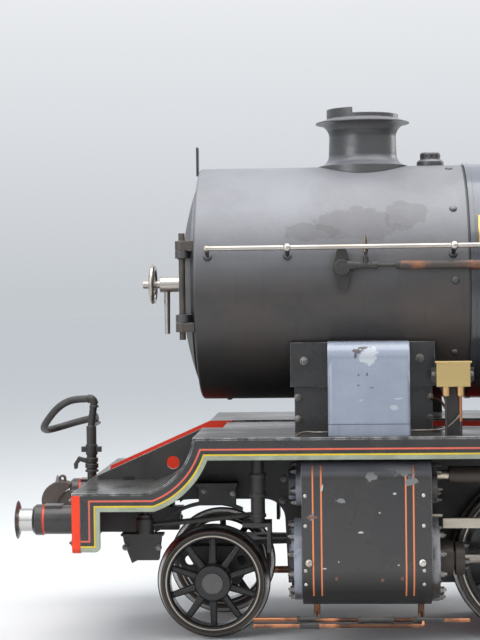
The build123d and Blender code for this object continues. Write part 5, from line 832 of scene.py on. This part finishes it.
# %% Helpers for new pieces
def finish_piece(name, source, material, smooth=False):
    """Turns a bmesh into an object with a material that rides on the chassis."""
    mesh = bpy.data.meshes.new(name)
    bmesh.ops.recalc_face_normals(source, faces=source.faces)
    source.to_mesh(mesh)
    source.free()
    if smooth:
        mesh.shade_smooth()
    mesh.materials.append(material)
    piece = bpy.data.objects.new(name, mesh)
    scene.collection.objects.link(piece)
    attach(piece, "chassis")
    print(name, len(mesh.polygons), "faces")


def facing(place, direction):
    """The turn and place that set a shape made along +Z on a surface that faces the given way."""
    return Matrix.Translation(at(*place)) @ Vector(direction).to_track_quat("Z", "Y").to_matrix().to_4x4()


def add_disc(source, place, direction, radius, height, sides=20, top_radius=None):
    """A disc or cone from a surface outwards, sizes in millimetres."""
    top = radius if top_radius is None else top_radius
    lifted = facing(place, direction) @ Matrix.Translation((0, 0, height * MM / 2))
    bmesh.ops.create_cone(
        source, cap_ends=True, segments=sides, radius1=radius * MM, radius2=top * MM,
        depth=height * MM, matrix=lifted,
    )


def add_nut(source, place, direction, width):
    """A hexagon nut on a washer, with the tip of its stud."""
    add_disc(source, place, direction, width * 0.66, width * 0.12, sides=14)
    add_disc(source, place, direction, width * 0.577, width * 0.75, sides=6, top_radius=width * 0.55)
    add_disc(source, place, direction, width * 0.30, width * 1.1, sides=10, top_radius=width * 0.24)


def add_rivet(source, place, direction, radius):
    """A low round head."""
    flatten = Matrix.Diagonal((1, 1, 0.55, 1))
    bmesh.ops.create_uvsphere(
        source, u_segments=12, v_segments=6, radius=radius * MM, matrix=facing(place, direction) @ flatten
    )


def ring_of(centre, radius, count, start):
    """Places round a circle about a line along X, as (x, y, z) in millimetres."""
    x, y, z = centre
    angles = [radians(start + 360 / count * i) for i in range(count)]
    return [(x, y + radius * cos(angle), z + radius * sin(angle)) for angle in angles]


def add_side_nuts(source, rows):
    """Nuts that face outwards on both sides: each row is y, the nut's width, and places (x, z)."""
    for s in (-1, 1):
        for y, width, places in rows:
            for x, z in places:
                add_nut(source, (PONY_X + x, s * y, z), (0, s, 0), width)


# %% Nuts on the cylinders and covers
nuts = bmesh.new()
cover_rings = [
    # x, y, z, facing, ring radius, count, nut width
    (BLOCK_X - 22, CYLINDER_Y, CYLINDER_Z, -1, 103, 12, 16),
    (BLOCK_X - 16, VALVE_Y, VALVE_Z, -1, 53, 6, 14),
    (BLOCK_END_X + 22, CYLINDER_Y, CYLINDER_Z, 1, 106, 12, 16),
    (BLOCK_END_X + 18, VALVE_Y, VALVE_Z, 1, 47, 6, 13),
]
for x, y, z, way, radius, count, width in cover_rings:
    for s in (-1, 1):
        for place in ring_of((x, s * y, z), radius, count, start=15):
            at_slide_bar = abs(abs(place[1]) - CYLINDER_Y) < 30 and place[2] > CYLINDER_Z + 90
            if way < 0 or z == VALVE_Z or not at_slide_bar:
                add_nut(nuts, place, (way, 0, 0), width)
for s in (-1, 1):
    for place in ring_of((BLOCK_END_X + 94, s * CYLINDER_Y, CYLINDER_Z), 36, 3, start=-55):
        add_nut(nuts, place, (1, 0, 0), 14)
add_side_nuts(nuts, [(431, 10, [(627, 769), (728, 769)]), (206, 13, [(-25, 427), (59, 419)])])
finish_piece("cylinder_nuts", nuts, nut_steel)

# %% Nuts on the saddle, truck gear, buffers and beams
nuts = bmesh.new()
add_side_nuts(nuts, [
    # y, nut width, places (x from the pony axle, z)
    (312, 18, [(271, 803), (594, 808)]),
    (300, 15, [(252, 640), (252, 700), (622, 640), (622, 700)]),
    (146, 16, [(204, 454), (201, 390), (-20, 560), (60, 560), (140, 560)]),
    (318, 14, [(-240, 281), (-145, 281)]),
])
beam_nuts = [
    # x, facing, nut width, distances from the middle, heights: front beam, coupler, drag beam
    (BEAM_X, -1, 15, (170, 235, 425), (310, 428)),
    (BEAM_X - 14, -1, 13, (44,), (350, 420)),
    (REAR_X - 52, 1, 15, (150, 210, 300, 420), (430, 480, 560)),
]
for s in (-1, 1):
    for place in ring_of((BEAM_X - 8, s * 330, 362), 46, 4, start=45):
        add_nut(nuts, place, (-1, 0, 0), 9)
    for x, way, width, distances, heights in beam_nuts:
        for y in distances:
            for z in heights:
                add_nut(nuts, (x, s * y, z), (way, 0, 0), width)
finish_piece("frame_and_beam_nuts", nuts, nut_steel)

# %% Dome heads on the smokebox ring, screws in the cladding, rivets round the cab
rivets = bmesh.new()
for place in ring_of((PONY_X + 694, 0, BOILER_Z), SMOKEBOX_R, 10, start=0):
    if place[2] > 720:
        add_rivet(rivets, place, (0, place[1], place[2] - BOILER_Z), 11)
add_rivet(rivets, (PONY_X + 40, 0, BOILER_Z - SMOKEBOX_R), (0, 0, -1), 9)
for s in (-1, 1):
    for x in (PONY_X + 229, PONY_X + 689, SMOKEBOX_X + 42):
        add_disc(rivets, (x, s * 335.4, 1097), (0, s, 0.2), 12, 5, sides=24, top_radius=8)
finish_piece("smokebox_dome_heads", rivets, chimney_paint, smooth=True)

screws = bmesh.new()
for s in (-1, 1):
    for x in (272, 594):
        for z in (441, 358, 236):
            add_rivet(screws, (PONY_X + x, s * 456, z), (0, s, 0), 6)
        add_rivet(screws, (PONY_X + x, s * 446.5, 197), (0, s, -0.45), 6)
    for x in (281, 590):
        add_disc(screws, (PONY_X + x, s * 456, 257), (0, s, 0), 12, 5, sides=24, top_radius=9)
finish_piece("cladding_screws", screws, bright_steel, smooth=True)

rivets = bmesh.new()
rivet_rows = [
    # first x and z, steps in x and z, count: lower edge, front edge, upper edge, rear edge
    (CAB_X + 22, DECK_Z + 16, 18.4, 0, 44),
    (CAB_X + 14, DECK_Z + 42, 0, 29, 26),
    (CAB_X + 22, 1376, 19.3, 0, 41),
    (CAB_END_X - 76, DECK_Z + 45, 0, 29, 9),
]
for s in (-1, 1):
    for x, z, step_x, step_z, count in rivet_rows:
        for i in range(count):
            add_rivet(rivets, (x + i * step_x, s * CAB_SIDE_Y, z + i * step_z), (0, s, 0), 4.5)
finish_piece("cab_rivets", rivets, gloss_black, smooth=True)

# %% [markdown]
# ## Lining on the edge plates
# The black edge plate under the footplating has a grey-green border along its lower edge, then a yellow
# line, then a thin red one. Each is a flat strip a hair thick. The strip is drawn by extruding a short
# edge along the plate's outline, so it keeps one width round the curve and a sharp mitre at the corners.


# %% Draw the outline and offset it
def arc_through(first, middle, last, steps):
    """Points on the circle through three places, from the first to the last."""
    (ax, ay), (bx, by), (cx, cy) = first, middle, last
    a2, b2, c2 = (x * x + y * y for x, y in (first, middle, last))
    d = 2 * (ax * (by - cy) + bx * (cy - ay) + cx * (ay - by))
    ux = (a2 * (by - cy) + b2 * (cy - ay) + c2 * (ay - by)) / d
    uy = (a2 * (cx - bx) + b2 * (ax - cx) + c2 * (bx - ax)) / d
    start = atan2(ay - uy, ax - ux)
    sweep = (atan2(cy - uy, cx - ux) - start + pi) % (2 * pi) - pi
    radius = hypot(ax - ux, ay - uy)
    angles = [start + sweep * i / steps for i in range(steps + 1)]
    return [(ux + radius * cos(a), uy + radius * sin(a)) for a in angles]


def parallel(path, distance):
    """The path moved sideways to its left by a distance, mitred at each corner."""
    places = [Vector(place) for place in path]
    ways = [(after - before).normalized() for before, after in zip(places, places[1:])]
    moved = []
    for place, way_in, way_out in zip(places, ways[:1] + ways, ways + ways[-1:]):
        sides = [Vector((-way.y, way.x)) for way in (way_in, way_out)]
        middle = (sides[0] + sides[1]).normalized()
        moved.append(place + middle * distance / middle.dot(sides[0]))
    return moved


# %% Draw the strips
STRIP_Y = HALF_WIDTH + 0.1
STRIP_THICKNESS = 0.0003


def lining_strip(name, path, near, far, material):
    """A flat strip between two distances from a path, a hair thick, on both edge plates."""
    strip = bmesh.new()
    for s in (-1, 1):
        edge = None
        for a, b in zip(parallel(path, near), parallel(path, far)):
            places = [at(p.x, s * STRIP_Y, p.y) for p in (a, b)]
            if edge is None:
                ends = [strip.verts.new(place) for place in places]
                edge = strip.edges.new(ends)
                continue
            grown = bmesh.ops.extrude_edge_only(strip, edges=[edge])["geom"]
            new_verts = [v for v in grown if isinstance(v, bmesh.types.BMVert)]
            ends = new_verts if (new_verts[0].co - ends[0].co).length < 1e-7 else new_verts[::-1]
            for end, place in zip(ends, places):
                end.co = place
            edge = next(e for e in ends[0].link_edges if ends[1] in e.verts)
    bmesh.ops.solidify(strip, geom=strip.faces[:], thickness=STRIP_THICKNESS)
    finish_piece(name, strip, material)


leg_start = (PONY_X - 341, 293)
foot_arc = arc_through((PONY_X - 301, 293), (PONY_X - 291.1, 297.1), (PONY_X - 287, 307), 6)
rise = arc_through((PONY_X - 138, 403), (PONY_X - 38, 468), (PONY_X + 9, 542), 28)
plate_edge = [(PONY_X - 287, 403), *rise, (CAB_END_X - 4, 542)]
rounded_foot = [leg_start, *foot_arc, *plate_edge]
square_foot = [leg_start, (PONY_X - 287, 293), *plate_edge]
line_red = make_finish("line_red", (0.78, 0.125, 0.070), (0.66, 0.13, 0.09), (0.34, 0.48), patch_scale=18)
line_yellow = make_finish(
    "line_yellow", (0.78, 0.56, 0.020), (0.64, 0.46, 0.04), (0.34, 0.48), patch_scale=18,
)
border_green = make_finish(
    "border_green", (0.355, 0.390, 0.300), (0.25, 0.27, 0.205), (0.34, 0.48), patch_scale=14,
)
lining_strip("valance_border_green", rounded_foot, 0.3, 12, border_green)
lining_strip("valance_line_yellow", square_foot, 12, 17, line_yellow)
lining_strip("valance_line_red", square_foot, 27, 32, line_red)

# %% [markdown]
# ## Small pipes, sleeves and the cab's dials
# Thin oil and drain pipes lie along the deck and under the cylinders, bent by hand and never quite
# straight. A curve with a round section follows such a bend with a few points. The dials get a white
# face with plain marks and a needle, and the front windows a brass rim and a pane.

# %% Thin pipes
pipe_rows = [
    # name, radius, material, slot, places from the pony axle
    ("oil_pipe_front", 3, nut_steel, "polished_steel",
     [(250, 440, 604), (262, 440, 612), (282, 440, 615), (300, 440, 612), (336, 436, 613)]),
    ("oil_pipe_rear", 3, nut_steel, "polished_steel",
     [(560, 440, 616), (600, 442, 617), (640, 442, 618), (662, 444, 624), (690, 446, 650), (697, 448, 662)]),
    ("oil_pipe_saddle", 3.5, copper, "copper",
     [(622, 313, 694), (640, 330, 694), (650, 370, 690), (654, 410, 682), (656, 424, 676)]),
]
for name, radius, material, slot, places in pipe_rows:
    for s, side in ((-1, "left"), (1, "right")):
        pipe = make_tube(f"{name}_{side}", [(PONY_X + x, s * y, z) for x, y, z in places], radius, 3)
        pipe.data.materials.append(material)
        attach(pipe, "chassis")

sleeves = bmesh.new()
for s in (-1, 1):
    for x, y, z, length in ((253, 428, 98, 46), (420, 436, 98, 84), (572, 436, 98, 68), (260, 446, 84, 40)):
        add_disc(sleeves, (PONY_X + x, s * y, z), (1, 0, 0), 8.5, length, sides=18)
        for end_x in (x - 7, x + length - 1):
            add_disc(sleeves, (PONY_X + end_x, s * y, z), (1, 0, 0), 9.5, 8, sides=6)
finish_piece("drain_pipe_sleeves", sleeves, rubber)

# %% Vent holes round the anti-vacuum valve's cap, as thin black discs of painted shade
CAP_X = -954
CAP_R = 29.6
vents = bmesh.new()
for i in range(12):
    angle = radians(30 * i + 6)
    way = (cos(angle), sin(angle), 0)
    add_disc(vents, (CAP_X + CAP_R * way[0], CAP_R * way[1], 1394), way, 2.6, 0.7, sides=12)
finish_piece("valve_cap_vents", vents, black_marks_and_hole_shade)

# %% Dials with plain marks
dial_white = make_finish("dial_white", (0.78, 0.77, 0.72), (0.70, 0.68, 0.62), (0.30, 0.40), patch_scale=40)
DIAL_X = FLOOR_X + 31
DIAL_Z = 1254
TO_REAR = (1, 0, 0)
faces = bmesh.new()
marks = bmesh.new()
for y in (-62, 62):
    add_disc(faces, (DIAL_X - 1, y, DIAL_Z), TO_REAR, 37, 1.0, sides=40)
    for i in range(11):
        angle = radians(225 - 27 * i)
        place = (DIAL_X, y + 30 * cos(angle), DIAL_Z + 30 * sin(angle))
        add_disc(marks, place, TO_REAR, 1.8 if i % 5 else 3.0, 0.5, sides=8)
    add_disc(marks, (DIAL_X, y, DIAL_Z), TO_REAR, 5, 1.6, sides=16)
    turned = facing((DIAL_X + 0.6, y, DIAL_Z), TO_REAR) @ Matrix.Rotation(radians(35), 4, "Z")
    needle = turned @ Matrix.Translation((0, 0.011, 0)) @ Matrix.Diagonal((0.0022, 0.030, 0.0008, 1))
    bmesh.ops.create_cube(marks, size=1.0, matrix=needle)
finish_piece("dial_faces", faces, dial_white)
finish_piece("dial_marks", marks, black_marks_and_hole_shade)

# %% Window panes, and brass rims grown from an outline
pane_glass, pane_tree, pane_shader = start_material("pane_glass")
for label, value in (("Base Color", (0.90, 0.95, 0.93, 1)), ("IOR", 1.45), ("Transmission Weight", 1.0)):
    pane_shader.inputs[label].default_value = value
smear = mask_of(pane_glass, patches, Scale=20, Low=0.35, High=0.75, Detail=5.0)
pane_tree.links.new(blend_value(pane_tree, smear, 0.03, 0.16), pane_shader.inputs["Roughness"])


def rounded_outline(half_width, half_height, radius):
    """Points round a rectangle with rounded corners, in millimetres."""
    points = []
    for side, end, first in ((1, 1, 0), (-1, 1, 90), (-1, -1, 180), (1, -1, 270)):
        for i in range(7):
            angle = radians(first + 15 * i)
            along = side * (half_width - radius) + radius * cos(angle)
            points.append((along, end * (half_height - radius) + radius * sin(angle)))
    return points


WINDOW_Y = 395
WINDOW_Z = 1285
RIM_WIDTH = 9
RIM_DEPTH = 4
rims = bmesh.new()
panes = bmesh.new()
for s in (-1, 1):
    edges = []
    for grow in (0, RIM_WIDTH):
        outline = rounded_outline(54 + grow, 64 + grow, 19 + grow)
        row = [rims.verts.new(at(CAB_X, s * WINDOW_Y + y, WINDOW_Z + z)) for y, z in outline]
        edges += [rims.edges.new(pair) for pair in zip(row, row[1:] + row[:1])]
    ring = bmesh.ops.bridge_loops(rims, edges=edges)["faces"]
    grown = bmesh.ops.extrude_face_region(rims, geom=ring)["geom"]
    front = [vert for vert in grown if isinstance(vert, bmesh.types.BMVert)]
    bmesh.ops.translate(rims, verts=front, vec=at(-RIM_DEPTH, 0, 0))
    middle = Matrix.Translation(at(CAB_X + 4, s * WINDOW_Y, WINDOW_Z))
    bmesh.ops.create_cube(panes, size=1.0, matrix=middle @ Matrix.Diagonal((0.003, 0.109, 0.129, 1)))
finish_piece("window_rims", rims, brass)
finish_piece("window_panes", panes, pane_glass)

# %% [markdown]
# ## Studio
# A plain pale floor and soft light, bright enough that a colour looks about as it is written. The world
# gives most of the light, as an overcast sky does on a real engine, and one broad lamp above gives the
# boiler its long highlight. The white background is only what the camera and shiny metal see.

# %% Floor and world
floor_mesh = bmesh.new()
bmesh.ops.create_circle(floor_mesh, cap_ends=True, segments=96, radius=60)
floor_data = bpy.data.meshes.new("studio_floor")
floor_mesh.to_mesh(floor_data)
floor_mesh.free()
floor = bpy.data.objects.new("studio_floor", floor_data)
scene.collection.objects.link(floor)
floor_paint, floor_tree, floor_shader = start_material("floor_paint")


def seen_rays(tree):
    """1 for camera, glossy and transmission rays, which see the pale studio."""
    rays = join(tree, "ShaderNodeLightPath").outputs
    shiny = number_step(tree, "MAXIMUM", rays["Is Glossy Ray"], rays["Is Transmission Ray"])
    return number_step(tree, "MAXIMUM", rays["Is Camera Ray"], shiny)


floor_tone = blend_colour(floor_tree, seen_rays(floor_tree), (0.45, 0.445, 0.44, 1), (0.74, 0.735, 0.73, 1))
floor_tree.links.new(floor_tone, floor_shader.inputs["Base Color"])
floor_shader.inputs["Roughness"].default_value = 0.85
floor_data.materials.append(floor_paint)

world = bpy.data.worlds.new("studio_world")
scene.world = world
world.use_nodes = True
sky = world.node_tree
lit = sky.nodes["Background"]
lit.inputs["Color"].default_value = (0.86, 0.93, 1.0, 1)
lit.inputs["Strength"].default_value = 0.80
sky_way = join(sky, "ShaderNodeNewGeometry").outputs["Position"]
sky_height = join(sky, "ShaderNodeSeparateXYZ", {0: sky_way}).outputs["Z"]
rising = spread(sky, sky_height, 0.0, 0.2)
pale = blend_colour(sky, rising, (0.555, 0.585, 0.62, 1), (0.86, 0.875, 0.90, 1))
seen = join(sky, "ShaderNodeBackground", {"Color": pale, "Strength": 1.0})
mixed = join(sky, "ShaderNodeMixShader", {0: seen_rays(sky), 1: lit.outputs[0], 2: seen.outputs[0]})
sky.links.new(mixed.outputs[0], sky.nodes["World Output"].inputs["Surface"])

# %% Lamps
lamps = [
    # name, place, target, width and depth in metres, power, colour
    ("lamp_overhead", (0, -0.9, 4.5), (0, 0, 1.0), 7.0, 4.2, 300, (1.0, 0.99, 0.97)),
    ("lamp_front_left", (-4.5, -3.8, 2.6), (-0.6, 0, 0.7), 2.6, 2.6, 90, (0.95, 0.98, 1.0)),
    ("lamp_rear_right", (3.8, 4.2, 3.0), (0, 0, 0.8), 2.6, 2.6, 90, (1.0, 0.98, 0.95)),
]
for name, place, target, width, depth, power, colour in lamps:
    lamp_data = bpy.data.lights.new(name, "AREA")
    lamp_data.shape = "RECTANGLE"
    lamp_data.size = width
    lamp_data.size_y = depth
    lamp_data.energy = power
    lamp_data.color = colour
    lamp = bpy.data.objects.new(name, lamp_data)
    scene.collection.objects.link(lamp)
    aim = (Vector(place) - Vector(target)).to_track_quat("Z", "Y")
    lamp.matrix_world = Matrix.Translation(place) @ aim.to_matrix().to_4x4()
scene.view_settings.view_transform = "Standard"
